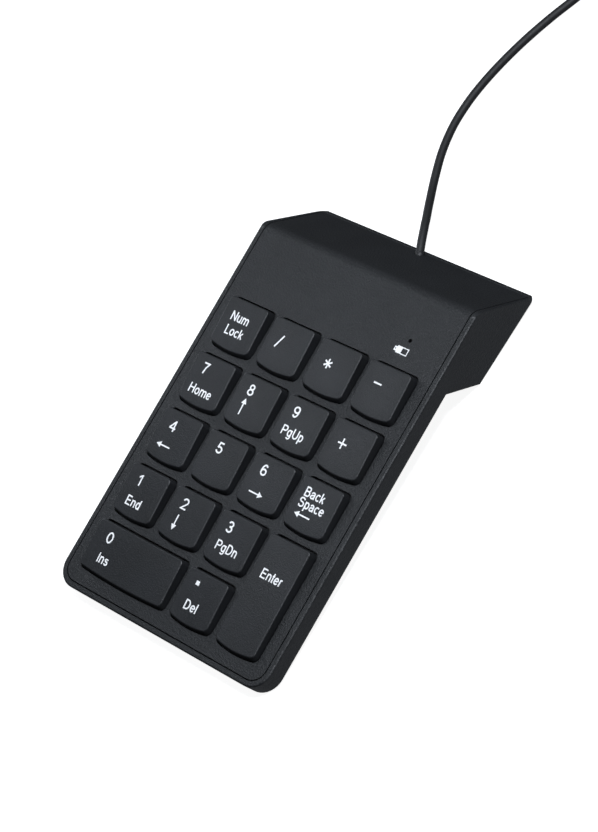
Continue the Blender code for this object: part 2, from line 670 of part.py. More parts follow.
def make_keycap_mesh(name, more_x, more_y):
    """A thin-walled cap with a bowed front edge, its tubular stem and the plunger inside the stem."""
    base = ((KEY_BASE_WIDTH + more_x) / 2, (KEY_BASE_DEPTH + more_y) / 2)
    low = (-base[0], -base[1], KEY_SKIRT_Z)
    bm = bowed_block(low, (*base, KEY_REAR_Z), KEY_CORNER_RADIUS, key_bow(more_x), KEY_SEGMENTS)
    top = [v for v in bm.verts if v.co.z > 0]
    taper_top(top, base, (more_x, more_y))
    rim = [edge for edge in bm.edges if all(v in top for v in edge.verts) and len(edge.link_faces) == 2]
    round_edges(bm, rim, KEY_EDGE_ROUNDING, 1)
    open_side = [face for face in bm.faces if face.calc_center_median().z < KEY_SKIRT_Z + 1e-6]
    bmesh.ops.delete(bm, geom=open_side, context="FACES_ONLY")
    cap = add_cutter(f"{name}_cap", mesh_of(f"{name}_cap", bm))
    wall = cap.modifiers.new("wall", "SOLIDIFY")
    wall.thickness = KEY_WALL
    wall.offset = -1.0
    wall.use_even_offset = True
    level = bmesh.new()
    reach = 2 * max(base)
    add_box(level, (-reach, -reach, KEY_SKIRT_Z - 0.0020), (reach, reach, KEY_SKIRT_Z + SKIRT_TRIM))
    trim = add_cutter(f"{name}_trim", mesh_of(f"{name}_trim", level))
    combine(cap, trim, "DIFFERENCE")

    stem_profile = [
        (0.0, STEM_ROOT_TOP),
        (STEM_RADIUS, STEM_ROOT_TOP),
        (STEM_RADIUS, STEM_BOTTOM),
        (STEM_HOLLOW_RADIUS, STEM_BOTTOM),
        (STEM_HOLLOW_RADIUS, STEM_ROOT_BOTTOM),
        (PLUNGER_RADIUS, STEM_ROOT_BOTTOM),
        (PLUNGER_RADIUS, PLUNGER_BOTTOM),
        (0.0, PLUNGER_BOTTOM),
    ]
    stem = add_cutter(f"{name}_stem", turned(f"{name}_stem", stem_profile, STEM_SIDES))
    combine(cap, stem, "UNION")
    mesh = finished_mesh(cap, name)
    for helper in (cap, stem, trim):
        bpy.data.objects.remove(helper)
    return mesh


def make_dome_mesh():
    height = DOME_TOP_Z - DOME_BASE_Z
    profile = [
        (0.0, height),
        (0.0017, height),
        (0.0031, 0.0005),
        (DOME_BASE_RADIUS, 0.0004),
        (DOME_BASE_RADIUS, 0.0),
        (0.0027, 0.0),
        (0.0013, height - 0.0006),
        (0.0, height - 0.0006),
    ]
    return turned("dome", profile, DOME_SIDES)


def make_keys():
    dome_mesh = make_dome_mesh()
    meshes = {}
    for key in KEYS:
        x, y, more_x, more_y = key_place(key)
        shape = (more_x, more_y)
        if shape not in meshes:
            meshes[shape] = make_keycap_mesh(f"keycap_{len(meshes)}", more_x, more_y)
        cap = add_object(f"key_{key}", meshes[shape], KEY_PLASTIC)
        cap.location = (x, y, 0.0)
        dome = add_object(f"dome_{key}", dome_mesh, DOME_RUBBER)
        dome.location = (x, y, DOME_BASE_Z)


# ---------------------------------------------------------------- sheets and electronics
def make_sheets():
    half = CASE_WIDTH / 2 - SHEET_MARGIN
    rear = SHEET_MARGIN + SHEET_LENGTH
    stack = (
        ("membrane_top", MEMBRANE_TOP_Z, SHEET_FILM),
        ("membrane_bottom", MEMBRANE_BOTTOM_Z, SHEET_FILM),
        ("backing_plate", BACKING_PLATE_Z, PLATE_STEEL),
    )
    clearance = cylinders("sheet_holes", SLAB_SCREWS, -0.0100, 0.0, BOSS_RADIUS + KEY_GAP)
    holes = add_cutter("sheet_holes", clearance)
    for name, (low, high), material in stack:
        mesh = rounded_box(name, (-half, SHEET_MARGIN, low), (half, rear, high), SHEET_CORNER_RADIUS)
        combine(add_object(name, mesh, material), holes, "DIFFERENCE")


def make_electronics():
    for name, size, centre, material in (
        ("controller_board", BOARD_SIZE, BOARD_CENTRE, BOARD_LAMINATE),
        ("controller_chip", CHIP_SIZE, CHIP_CENTRE, CHIP_EPOXY),
    ):
        half = Vector(size) / 2
        mesh = rounded_box(name, -half, half, BOARD_CORNER, 1)
        add_object(name, mesh, material).location = centre
    pipe = cylinders("light_pipe", [(0.0, 0.0)], *LIGHT_PIPE_Z, LIGHT_RADIUS, 8)
    add_object("light_pipe", pipe, LIGHT_ACRYLIC).location = (*LIGHT_PLACE, 0.0)


# ---------------------------------------------------------------- cord and plug
def smooth_route(route, spacing):
    """Evenly spaced points on a Catmull-Rom curve through the route's points."""
    route = [Vector(point) for point in route]
    padded = [2 * route[0] - route[1], *route, 2 * route[-1] - route[-2]]
    fine = [route[0]]
    steps = 16
    for before, start, end, after in zip(padded, padded[1:], padded[2:], padded[3:]):
        for step in range(1, steps + 1):
            t = step / steps
            bend = 2 * before - 5 * start + 4 * end - after
            twist = 3 * start - before - 3 * end + after
            fine.append((2 * start + (end - before) * t + bend * t**2 + twist * t**3) / 2)
    length = sum((b - a).length for a, b in zip(fine, fine[1:]))
    count = max(2, round(length / spacing))
    gap = length / count
    spaced = [fine[0]]
    walked = 0.0
    for a, b in zip(fine, fine[1:]):
        stretch = (b - a).length
        while walked + stretch >= gap * len(spaced) and len(spaced) < count:
            spaced.append(a.lerp(b, (gap * len(spaced) - walked) / stretch))
        walked += stretch
    spaced.append(fine[-1])
    return spaced


def make_tube(name, route):
    curve = bpy.data.curves.new(name, "CURVE")
    curve.dimensions = "3D"
    curve.bevel_depth = CORD_RADIUS
    curve.bevel_resolution = 2
    curve.use_fill_caps = True
    points = smooth_route(route, TUBE_SPACING)
    spline = curve.splines.new("POLY")
    spline.points.add(len(points) - 1)
    for target, point in zip(spline.points, points):
        target.co = (*point, 1.0)
    curve.materials.append(CORD_JACKET)
    PARTS.objects.link(bpy.data.objects.new(name, curve))


def make_coil():
    """The outer shape of the wound cord: a ring with eased edges, standing on the surface."""
    half = CORD_RADIUS * COIL_TURNS_WIDE
    height = 2 * CORD_RADIUS * COIL_TURNS_HIGH
    ease = CORD_RADIUS * 0.7
    inner = COIL_MIDDLE_RADIUS - half
    outer = COIL_MIDDLE_RADIUS + half
    profile = [
        (outer - ease, height),
        (outer, height - ease),
        (outer, ease),
        (outer - ease, 0.0),
        (inner + ease, 0.0),
        (inner, ease),
        (inner, height - ease),
        (inner + ease, height),
        (outer - ease, height),
    ]
    coil = add_object("cord_coil", turned("cord_coil", profile, COIL_SIDES), CORD_JACKET, in_deck_frame=False)
    coil.location = (*COIL_CENTRE, 0.0)


def lengthwise(length):
    """Turns a Z cylinder so that it runs along +Y, starting at the origin."""
    return Matrix.Translation((0.0, length / 2, 0.0)) @ Matrix.Rotation(-math.pi / 2, 4, "X")


def make_strain_relief():
    """Moulded sleeve that grips the cord where it leaves the case, and the notch that it lies in."""
    start, end = RELIEF_Y
    for name, radius, low, high in (
        ("strain_relief", RELIEF_RADIUS, start, end),
        ("cord_notch", CORD_NOTCH_RADIUS, start - 0.004, end + 0.010),
    ):
        bm = bmesh.new()
        place = Matrix.Translation((0.0, low, CORD_EXIT_HEIGHT)) @ lengthwise(high - low)
        bmesh.ops.create_cone(
            bm, cap_ends=True, segments=12, radius1=radius, radius2=radius, depth=high - low, matrix=place
        )
        mesh = mesh_of(name, bm)
        if name == "strain_relief":
            add_object(name, mesh, CORD_JACKET, in_deck_frame=False)
        else:
            notch = add_cutter(name, mesh, in_deck_frame=False)
    return notch


def make_plug():
    """A USB plug lying flat, pointing towards the user: moulded grip with a tapered tail, and the metal shell."""
    grip_end = PLUG_RELIEF_Y - PLUG_RELIEF_LENGTH
    grip_start = grip_end - PLUG_GRIP_SIZE[1]
    half_x, half_z = PLUG_GRIP_SIZE[0] / 2, PLUG_GRIP_SIZE[2] / 2
    bm = bmesh.new()
    low = (PLUG_X - half_x, grip_start, PLUG_HEIGHT - half_z)
    add_box(bm, low, (PLUG_X + half_x, grip_end, PLUG_HEIGHT + half_z))
    round_edges(bm, bm.edges[:], PLUG_GRIP_ROUNDING, 2)
    grip = add_object("plug_grip", mesh_of("plug_grip", bm), CORD_JACKET, in_deck_frame=False)

    tail = bmesh.new()
    reach = PLUG_RELIEF_LENGTH + PLUG_TAIL_ROOT
    place = Matrix.Translation((PLUG_X, grip_end - PLUG_TAIL_ROOT, PLUG_HEIGHT)) @ lengthwise(reach)
    wide, narrow = PLUG_RELIEF_RADII
    bmesh.ops.create_cone(
        tail, cap_ends=True, segments=STEM_SIDES, radius1=wide, radius2=narrow, depth=reach, matrix=place
    )
    combine(grip, add_cutter("plug_tail", mesh_of("plug_tail", tail), in_deck_frame=False), "UNION")

    half_x, half_z = PLUG_SHELL_SIZE[0] / 2, PLUG_SHELL_SIZE[2] / 2
    shell_end = grip_start - TUBE_GAP / 2
    shell_start = shell_end - PLUG_SHELL_SIZE[1]
    bm = bmesh.new()
    low = (PLUG_X - half_x, shell_start, PLUG_HEIGHT - half_z)
    add_box(bm, low, (PLUG_X + half_x, shell_end, PLUG_HEIGHT + half_z))
    mouth = [face for face in bm.faces if face.calc_center_median().y < shell_start + 1e-6]
    bmesh.ops.delete(bm, geom=mouth, context="FACES_ONLY")
    shell = add_object("plug_shell", mesh_of("plug_shell", bm), SCREW_STEEL, in_deck_frame=False)
    wall = shell.modifiers.new("wall", "SOLIDIFY")
    wall.thickness = PLUG_SHELL_WALL
    wall.offset = -1.0
    wall.use_even_offset = True


# ---------------------------------------------------------------- build
def build():
    notch = make_strain_relief()
    rear_cutter = side_prism("behind_case", behind_case())
    make_bottom_case(rear_cutter, notch)
    make_top_cover(rear_cutter, notch)
    make_keys()
    make_sheets()
    make_electronics()
    make_screws()
    make_feet()
    make_tube("cord_lead", LEAD_ROUTE)
    make_coil()
    make_tube("cord_tail", TAIL_ROUTE)
    make_plug()


build()
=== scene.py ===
"""Looks of the numeric keypad: moulded shells, eighteen printed keycaps, domes, cord, plug, camera and light.

Lengths are in metres. Pieces of the keypad are modelled in the deck frame (X right, Y away from the user with
the deck's front edge at 0, Z up from the deck's surface) and then turned into place by DECK. The cord and its
plug lie on the standing surface and are modelled there directly.
"""

import json
import math

import bmesh
import bpy
from mathutils import Matrix, Vector


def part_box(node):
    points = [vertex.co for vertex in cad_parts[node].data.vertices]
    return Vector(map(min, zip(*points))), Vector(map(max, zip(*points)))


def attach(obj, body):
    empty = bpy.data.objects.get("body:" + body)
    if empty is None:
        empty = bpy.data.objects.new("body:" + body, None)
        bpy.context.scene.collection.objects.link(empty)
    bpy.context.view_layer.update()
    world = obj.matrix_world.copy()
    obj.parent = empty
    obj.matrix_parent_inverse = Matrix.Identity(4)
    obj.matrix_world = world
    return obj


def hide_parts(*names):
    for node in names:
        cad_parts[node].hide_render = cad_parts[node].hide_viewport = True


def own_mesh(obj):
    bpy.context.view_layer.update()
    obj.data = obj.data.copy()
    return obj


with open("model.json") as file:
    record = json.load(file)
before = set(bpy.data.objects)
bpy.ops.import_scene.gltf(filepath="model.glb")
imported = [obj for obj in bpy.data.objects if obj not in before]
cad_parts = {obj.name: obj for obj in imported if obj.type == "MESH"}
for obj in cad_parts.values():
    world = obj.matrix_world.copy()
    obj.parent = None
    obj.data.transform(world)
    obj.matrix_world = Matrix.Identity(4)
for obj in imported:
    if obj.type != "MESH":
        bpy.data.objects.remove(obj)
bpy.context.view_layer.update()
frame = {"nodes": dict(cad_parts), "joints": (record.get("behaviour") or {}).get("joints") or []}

# ---------------- how the deck stands
PRESS = Vector(frame["joints"][0]["axis"])  # the way every key moves
DECK_TILT = math.atan2(PRESS.y, -PRESS.z)
DECK_FRONT = Vector((0.0, -0.0695012, 0.0069541))
DECK = Matrix.Translation(DECK_FRONT) @ Matrix.Rotation(DECK_TILT, 4, "X")

# ---------------- keys
PITCH = 0.0190
FIRST_COLUMN_X = -0.0285
FIRST_ROW_Y = 0.09045
KEY_TOP_WIDTH = 0.0156
KEY_TOP_REAR = 0.0079
KEY_TOP_FRONT = 0.0077
KEY_BASE_WIDTH = 0.0163
KEY_BASE_DEPTH = 0.0163
KEY_BOW = 0.0010
WIDE_KEY_BOW = 0.0007
KEY_SKIRT_Z = -0.00016
KEY_REAR_Z = 0.0030
KEY_FRONT_Z = 0.0018
KEY_CORNER_RADIUS = 0.0013
KEY_EDGE_ROUNDING = 0.00042
KEY_WALL = 0.0007  # thin enough for the dished top to stay off its guide when pressed
BOW_REACH = 0.0030  # how far back from the front edge the bow reaches
KEY_DISH = 0.00022
KEY_CUTS = 8
STEM_RADIUS = 0.0050
STEM_HOLLOW_RADIUS = 0.0044
STEM_BOTTOM = -0.0025
STEM_TOP = 0.0016
STEM_HOLLOW_TOP = 0.0010
PLUNGER_RADIUS = 0.0015
PLUNGER_BOTTOM = -0.0009

# The keys of each row from the left. None stands where the wide key beside it takes a second place.
KEY_ROWS = (
    ("num_lock", "divide", "multiply", "minus"),
    ("7", "8", "9", "plus"),
    ("4", "5", "6", "backspace"),
    ("1", "2", "3", "enter"),
    ("0", None, "decimal"),
)
# Column and row of each key's first place, and how many places it takes each way.
KEYS = {
    key: (column, row, 2 if key == "0" else 1, 2 if key == "enter" else 1)
    for row, keys in enumerate(KEY_ROWS)
    for column, key in enumerate(keys)
    if key
}

# ---------------- key legends
DIGIT_HEIGHT = 0.0034
WORD_HEIGHT = 0.0029
LETTER_STROKE = 0.150  # of the capital height
WORD_WIDTH = 0.86  # of the letters as drawn below
DIGIT_WIDTH = 1.06
SIGN_STROKE = 0.00050
ARROW_SHAFT = 0.00044
ARROW_HEAD = (0.0019, 0.0017)  # width and length
INK_TOP = 0.00002
INK_BOTTOM = -0.00002
INK_STEP = 0.000001  # crossing strokes lie this much above each other
# Words and digits on each key: text and its centre on the key.
WORDS = {
    "num_lock": (("Num", (-0.0009, 0.0025)), ("Lock", (-0.0006, -0.0019))),
    "7": (("7", (-0.0028, 0.0037)), ("Home", (-0.0005, -0.0030))),
    "8": (("8", (-0.0025, 0.0037)),),
    "9": (("9", (-0.0030, 0.0036)), ("PgUp", (-0.0007, -0.0023))),
    "4": (("4", (-0.0023, 0.0032)),),
    "5": (("5", (-0.0018, 0.0036)),),
    "6": (("6", (-0.0026, 0.0036)),),
    "backspace": (("Back", (-0.0013, 0.0037)), ("Space", (-0.0006, 0.0004))),
    "1": (("1", (-0.0027, 0.0036)), ("End", (-0.0012, -0.0030))),
    "2": (("2", (-0.0025, 0.0035)),),
    "3": (("3", (-0.0029, 0.0037)), ("PgDn", (-0.0005, -0.0022))),
    "enter": (("Enter", (-0.0002, 0.0061)),),
    "0": (("0", (-0.0110, 0.0036)), ("Ins", (-0.0097, -0.0028))),
    "decimal": (("Del", (-0.0013, -0.0024)),),
}
# Bars on each key: centre, length, stroke, direction in degrees.
BARS = {
    "divide": (((-0.0028, 0.0012), 0.0044, SIGN_STROKE, 66),),
    "multiply": tuple(((-0.0021, 0.0012), 0.0030, SIGN_STROKE, angle) for angle in (90, 30, 150)),
    "minus": (((-0.0020, 0.0020), 0.0029, SIGN_STROKE, 0),),
    "plus": tuple(((-0.0023, 0.0012), 0.0032, SIGN_STROKE, angle) for angle in (0, 90)),
    "decimal": (((-0.0029, 0.0043), 0.0013, 0.0013, 0),),
}
# Arrows on each key: from the tail to the tip.
ARROWS = {
    "8": ((-0.0028, -0.0042), (-0.0028, 0.0009)),
    "4": ((0.0003, -0.0032), (-0.0050, -0.0032)),
    "6": ((-0.0042, -0.0035), (0.0011, -0.0035)),
    "2": ((-0.0028, 0.0000), (-0.0028, -0.0048)),
    "backspace": ((0.0007, -0.0031), (-0.0052, -0.0031)),
}
LEFT_STEM = ((0.168, 0), (0.168, 1))
RIGHT_STEM = ((0.841, 0), (0.841, 1))
# Plain grotesque letters: the room each takes and its strokes, in capital heights, from the base line up.
# A stroke is a run of points and arcs, and an arc is centre x, centre y, half width, half height, from and to
# degrees. A full turn is a closed ring.
LETTERS = {
    "0": (0.78, (((0.388, 0.5, 0.265, 0.4375, 0, 360),),)),
    "1": (0.78, (((0.46, 0), (0.46, 1)), ((0.47, 0.95), (0.17, 0.74)))),
    "2": (0.78, (((0.385, 0.7, 0.25, 0.2375, 170, -38), (0.13, 0.0625), (0.66, 0.0625)),)),
    "3": (
        0.78,
        (
            ((0.37, 0.725, 0.215, 0.2125, 165, -90),),
            ((0.3, 0.5125), (0.37, 0.2875, 0.25, 0.225, 90, -165)),
        ),
    ),
    "4": (0.78, (((0.55, 0), (0.55, 1)), ((0.53, 0.93), (0.1, 0.31)), ((0.06, 0.295), (0.72, 0.295)))),
    "5": (0.78, (((0.64, 0.9375), (0.24, 0.9375), (0.17, 0.5)), ((0.375, 0.32, 0.265, 0.2575, 140, -165),))),
    "6": (0.78, (((0.39, 0.3125, 0.25, 0.25, 0, 360),), ((0.405, 0.45, 0.265, 0.4875, 200, 45),))),
    "7": (0.78, (((0.11, 0.9375), (0.66, 0.9375), (0.45, 0.55), (0.34, 0)),)),
    "8": (0.78, (((0.388, 0.735, 0.205, 0.2025, 0, 360),), ((0.388, 0.2975, 0.25, 0.235, 0, 360),))),
    "9": (0.78, (((0.388, 0.6875, 0.25, 0.25, 0, 360),), ((0.373, 0.55, 0.265, 0.4875, 20, -135),))),
    "B": (
        0.93,
        (
            LEFT_STEM,
            ((0.168, 0.9375), (0.52, 0.735, 0.21, 0.2025, 90, -90), (0.168, 0.5325)),
            ((0.168, 0.5325), (0.55, 0.2975, 0.235, 0.235, 90, -90), (0.168, 0.0625)),
        ),
    ),
    "D": (1.01, (LEFT_STEM, ((0.168, 0.9375), (0.46, 0.5, 0.385, 0.4375, 90, -90), (0.168, 0.0625)))),
    "E": (
        0.93,
        (((0.8, 0.9375), (0.168, 0.9375), (0.168, 0.0625), (0.83, 0.0625)), ((0.168, 0.515), (0.77, 0.515))),
    ),
    "H": (1.01, (LEFT_STEM, RIGHT_STEM, ((0.168, 0.535), (0.841, 0.535)))),
    "I": (0.39, (((0.194, 0), (0.194, 1)),)),
    "L": (0.78, (((0.168, 1), (0.168, 0.0625), (0.73, 0.0625)),)),
    "N": (1.01, (LEFT_STEM, RIGHT_STEM, ((0.18, 0.95), (0.83, 0.05)))),
    "P": (0.93, (LEFT_STEM, ((0.168, 0.9375), (0.55, 0.7, 0.25, 0.2375, 90, -90), (0.168, 0.4625)))),
    "S": (0.93, (((0.46, 0.735, 0.3, 0.2025, 10, 270), (0.47, 0.2975, 0.32, 0.235, 90, -170)),)),
    "U": (1.01, (((0.168, 1), (0.505, 0.4, 0.337, 0.3375, 180, 360), (0.841, 1)),)),
    "a": (
        0.78,
        (
            ((0.37, 0.46, 0.225, 0.2015, 165, 0), (0.595, 0.12), (0.63, 0)),
            ((0.595, 0.44), (0.32, 0.215, 0.2, 0.16, 90, 300), (0.595, 0.22)),
        ),
    ),
    "c": (0.7, (((0.37, 0.362, 0.26, 0.2995, 42, 318),),)),
    "d": (0.78, (((0.62, 0), (0.62, 1)), ((0.375, 0.362, 0.245, 0.2995, 0, 360),))),
    "e": (0.78, (((0.125, 0.37), (0.6, 0.37)), ((0.388, 0.362, 0.26, 0.2995, 2, 322),))),
    "g": (
        0.78,
        (
            ((0.62, 0.724), (0.62, -0.02), (0.385, -0.04, 0.235, 0.175, 0, -155)),
            ((0.375, 0.362, 0.245, 0.2995, 0, 360),),
        ),
    ),
    "k": (0.7, (((0.145, 0), (0.145, 1)), ((0.145, 0.24), (0.57, 0.68)), ((0.31, 0.38), (0.6, 0.03)))),
    "l": (0.31, (((0.155, 0), (0.155, 1)),)),
    "m": (
        1.16,
        (
            ((0.15, 0), (0.15, 0.724)),
            ((0.369, 0.44, 0.216, 0.2215, 180, 0), (0.585, 0)),
            ((0.8, 0.44, 0.215, 0.2215, 180, 0), (1.015, 0)),
        ),
    ),
    "n": (0.78, (((0.145, 0), (0.145, 0.724)), ((0.38, 0.43, 0.235, 0.2315, 180, 0), (0.615, 0)))),
    "o": (0.78, (((0.388, 0.362, 0.265, 0.2995, 0, 360),),)),
    "p": (0.78, (((0.15, -0.28), (0.15, 0.724)), ((0.395, 0.362, 0.245, 0.2995, 0, 360),))),
    "r": (0.47, (((0.145, 0), (0.145, 0.724)), ((0.35, 0.43, 0.205, 0.2315, 180, 72),))),
    "s": (0.7, (((0.35, 0.53, 0.2, 0.1315, 22, 270), (0.35, 0.2305, 0.22, 0.168, 90, -160)),)),
    "t": (0.39, (((0.19, 0.96), (0.3, 0.16, 0.11, 0.0975, 180, 280)), ((0.02, 0.67), (0.36, 0.67)))),
    "u": (0.78, (((0.615, 0), (0.615, 0.724)), ((0.145, 0.724), (0.38, 0.29, 0.235, 0.2275, 180, 360)))),
}

# ---------------- light window mark
BATTERY_CENTRE = (0.02645, 0.1042)
BATTERY_SIZE = (0.0042, 0.0022)
BATTERY_LINE = 0.00028
BATTERY_FILL = 0.45
BATTERY_NUB = (0.0009, 0.0014)
BATTERY_SLOT = (0.00025, 0.0005)

# ---------------- cord, where it lies
CORD_RADIUS = 0.0013
CORD_SPACING = 0.0020
LEAD_ROUTE = (
    (0.0001, 0.0655, 0.0034),
    (0.0000, 0.0668, 0.0035),
    (-0.0004, 0.0682, 0.0037),
    (-0.0012, 0.0700, 0.0040),
    (-0.0021, 0.0721, 0.0043),
    (-0.0031, 0.0742, 0.0043),
    (-0.0043, 0.0764, 0.0041),
    (-0.0058, 0.0790, 0.0036),
    (-0.0078, 0.0821, 0.0029),
    (-0.0102, 0.0860, 0.0020),
    (-0.0126, 0.0903, 0.0014),
    (-0.0151, 0.0960, 0.0013),
    (-0.0169, 0.1008, 0.0013),
    (-0.0184, 0.1064, 0.0013),
    (-0.0194, 0.1130, 0.0013),
    (-0.0194, 0.1220, 0.0013),
    (-0.0180, 0.1320, 0.0013),
    (-0.0153, 0.1430, 0.0013),
    (-0.0115, 0.1540, 0.0013),
    (-0.0070, 0.1645, 0.0013),
    (-0.0035, 0.1735, 0.0013),
)
TAIL_ROUTE = (
    (0.0300, 0.1960, 0.0075),
    (0.0345, 0.1948, 0.0055),
    (0.0390, 0.1920, 0.0038),
    (0.0425, 0.1880, 0.0032),
    (0.0443, 0.1835, 0.0036),
    (0.0448, 0.1795, 0.0040),
)
COIL_CENTRE = (0.0160, 0.1780)
COIL_MIDDLE_RADIUS = 0.0140
COIL_TURNS_WIDE = 3
COIL_TURNS_HIGH = 4
COIL_STEP_ANGLE = math.radians(45)  # the turn over which the cord crosses to its next turn or layer
COIL_START_ANGLE = math.radians(160.3)
COIL_END_ANGLE = math.radians(90)
COIL_POINTS_PER_TURN = 32
STRAP_THICKNESS = 0.00035
STRAP_WIDTH = 0.0080
STRAP_GAP = 0.00005
COIL_LIFT = STRAP_THICKNESS + STRAP_GAP

# ---------------- plug
PLUG_X = 0.0448
PLUG_HEIGHT = 0.0040
PLUG_GAP = 0.00015
TAIL_END_Y = 0.1792
TAIL_LENGTH = 0.0080
TAIL_RADIUS = 0.0026
TAIL_TAPER = 0.0008
TAIL_GROOVE = 0.00035
TAIL_RINGS = 4
TAIL_RING_SPACING = 0.0018
TAIL_RING_LENGTH = 0.0011
GRIP_SIZE = (0.0156, 0.0230, 0.0078)
GRIP_REAR = TAIL_END_Y - TAIL_LENGTH
GRIP_FRONT = GRIP_REAR - GRIP_SIZE[1]
GRIP_CORNER = 0.0030  # radius of its two rear corners
GRIP_EDGE = 0.0011
PANEL_MARGIN = 0.0016
PANEL_DEPTH = 0.0003
RIBS = 5
RIB_START = 0.0060
RIB_SPACING = 0.0026
RIB_SIZE = (0.0084, 0.0011)
RIB_ROOT = 0.0004  # how far a rib reaches into the grip
RIB_HEIGHT = 0.00025
SLEEVE_SIZE = (0.0120, 0.0120, 0.0045)
SLEEVE_REAR = GRIP_FRONT - PLUG_GAP
SLEEVE_FRONT = SLEEVE_REAR - SLEEVE_SIZE[1]
SLEEVE_WALL = 0.0003
SLEEVE_FOLD = 0.0006
WINDOW_SIDE = 0.0021
WINDOW_X = 0.0026
WINDOW_Y = SLEEVE_FRONT + 0.0058
TONGUE_WIDTH = 0.0108
TONGUE_DEPTH = 0.0009  # how far its front edge lies inside the sleeve's mouth
TONGUE_BOTTOM = PLUG_HEIGHT - 0.0019
TONGUE_TOP = PLUG_HEIGHT - 0.0001
TONGUE_BACK = SLEEVE_REAR - SLEEVE_WALL - 0.0001
CONTACTS = ((-0.0035, 0.0012), (-0.0012, 0.0022), (0.0012, 0.0022), (0.0035, 0.0012))  # middle, front
CONTACT_WIDTH = 0.0010
CONTACT_THICKNESS = 0.0002

# ---------------- light
LIGHT_TINT = (0.93, 0.98, 1.06, 1.0)
GLOW_WAY = (-0.50, 0.20, 0.84)
GLOW_LEVELS = (0.008, 0.21)
BOUNCE_WAY = (0.45, -0.05, -0.89)
BOUNCE_LEVELS = (0.0, 0.33)


# ================ small tools
def sheet_colour(code):
    """Linear RGBA of an sRGB hex code."""
    parts = [int(code[i : i + 2], 16) / 255 for i in (0, 2, 4)]
    return (*(p / 12.92 if p <= 0.04045 else ((p + 0.055) / 1.055) ** 2.4 for p in parts), 1.0)


def add_node(tree, kind, inputs=None, **settings):
    """Adds a node with its settings, and fills its inputs with values or with other nodes' outputs."""
    node = tree.nodes.new(kind)
    for name, value in settings.items():
        setattr(node, name, value)
    for name, value in (inputs or {}).items():
        if isinstance(value, bpy.types.NodeSocket):
            tree.links.new(value, node.inputs[name])
        else:
            node.inputs[name].default_value = value
    return node


def new_material(name, **values):
    """A material with a Principled shader whose plain numbers and colours are set on its own sockets."""
    made = bpy.data.materials.new(name)
    made.use_nodes = True
    shader = made.node_tree.nodes["Principled BSDF"]
    for socket, value in values.items():
        shader.inputs[socket.replace("_", " ")].default_value = value
    return made, made.node_tree, shader


def settled_normals(bm, sharp_angle):
    """A normal for every corner of every face, with the faces round a vertex weighted by their area.

    A wide flat so looks flat right up to its fine rounding. Edges sharper than the angle stay sharp.
    """
    for e in bm.edges:
        e.smooth = len(e.link_faces) == 2 and e.calc_face_angle() < sharp_angle
    for f in bm.faces:
        f.smooth = True
    bm.faces.index_update()
    bm.verts.index_update()
    weighted = [f.normal * f.calc_area() for f in bm.faces]
    corners = {}
    for v in bm.verts:
        waiting = set(v.link_faces)
        while waiting:
            fan = [waiting.pop()]
            for f in fan:
                for e in f.edges:
                    if e.smooth and v in e.verts:
                        joined = waiting.intersection(e.link_faces)
                        fan.extend(joined)
                        waiting -= joined
            normal = sum((weighted[f.index] for f in fan), Vector()).normalized()
            for f in fan:
                corners[f.index, v.index] = normal
    return [corners[f.index, loop.vert.index] for f in bm.faces for loop in f.loops]


def add_piece(name, bm, material, body="case", replaces=(), in_deck=True, smooth=32):
    """Puts the finished bmesh in the scene as a piece that rides on a body."""
    if in_deck:
        bm.transform(DECK)
    bm.normal_update()
    mesh = bpy.data.meshes.new(name)
    normals = settled_normals(bm, math.radians(smooth))
    bm.to_mesh(mesh)
    bm.free()
    mesh.materials.append(material)
    mesh.normals_split_custom_set(normals)
    obj = bpy.data.objects.new(name, mesh)
    bpy.context.scene.collection.objects.link(obj)
    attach(obj, body)
    if replaces:
        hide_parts(*replaces)
    return obj


def join_in(bm, other):
    """Moves the geometry of another bmesh into this one."""
    mesh = bpy.data.meshes.new("island")
    other.to_mesh(mesh)
    other.free()
    bm.from_mesh(mesh)
    bpy.data.meshes.remove(mesh)


def round_edges(bm, edges, radius, segments, clamp=False):
    bmesh.ops.bevel(
        bm,
        geom=edges,
        offset=radius,
        segments=segments,
        profile=0.5,
        affect="EDGES",
        clamp_overlap=clamp,
        material=-1,
    )


def add_box(bm, low, high):
    low = Vector(low)
    high = Vector(high)
    place = Matrix.Translation((low + high) / 2) @ Matrix.Diagonal((*(high - low), 1.0))
    bmesh.ops.create_cube(bm, size=1.0, matrix=place)


def cut(bm, place, direction):
    """Cuts every face that a plane crosses in two, and leaves both sides in place."""
    everything = bm.verts[:] + bm.edges[:] + bm.faces[:]
    bmesh.ops.bisect_plane(bm, geom=everything, plane_co=place, plane_no=direction, dist=1e-7)


def upright_edges(bm):
    return [e for e in bm.edges if (e.verts[0].co - e.verts[1].co).xy.length < 1e-9]


def turned(profile, steps, place=Matrix.Identity(4)):
    """A solid made by spinning an (R, Z) profile about Z. The profile starts and ends on the axis."""
    bm = bmesh.new()
    verts = [bm.verts.new((r, 0.0, z)) for r, z in profile]
    edges = [bm.edges.new(pair) for pair in zip(verts, verts[1:])]
    bmesh.ops.spin(
        bm, geom=verts + edges, axis=(0, 0, 1), cent=(0, 0, 0), angle=2 * math.pi, steps=steps, use_merge=True
    )
    bmesh.ops.remove_doubles(bm, verts=bm.verts, dist=1e-7)
    bmesh.ops.recalc_face_normals(bm, faces=bm.faces)
    bm.transform(place)
    return bm


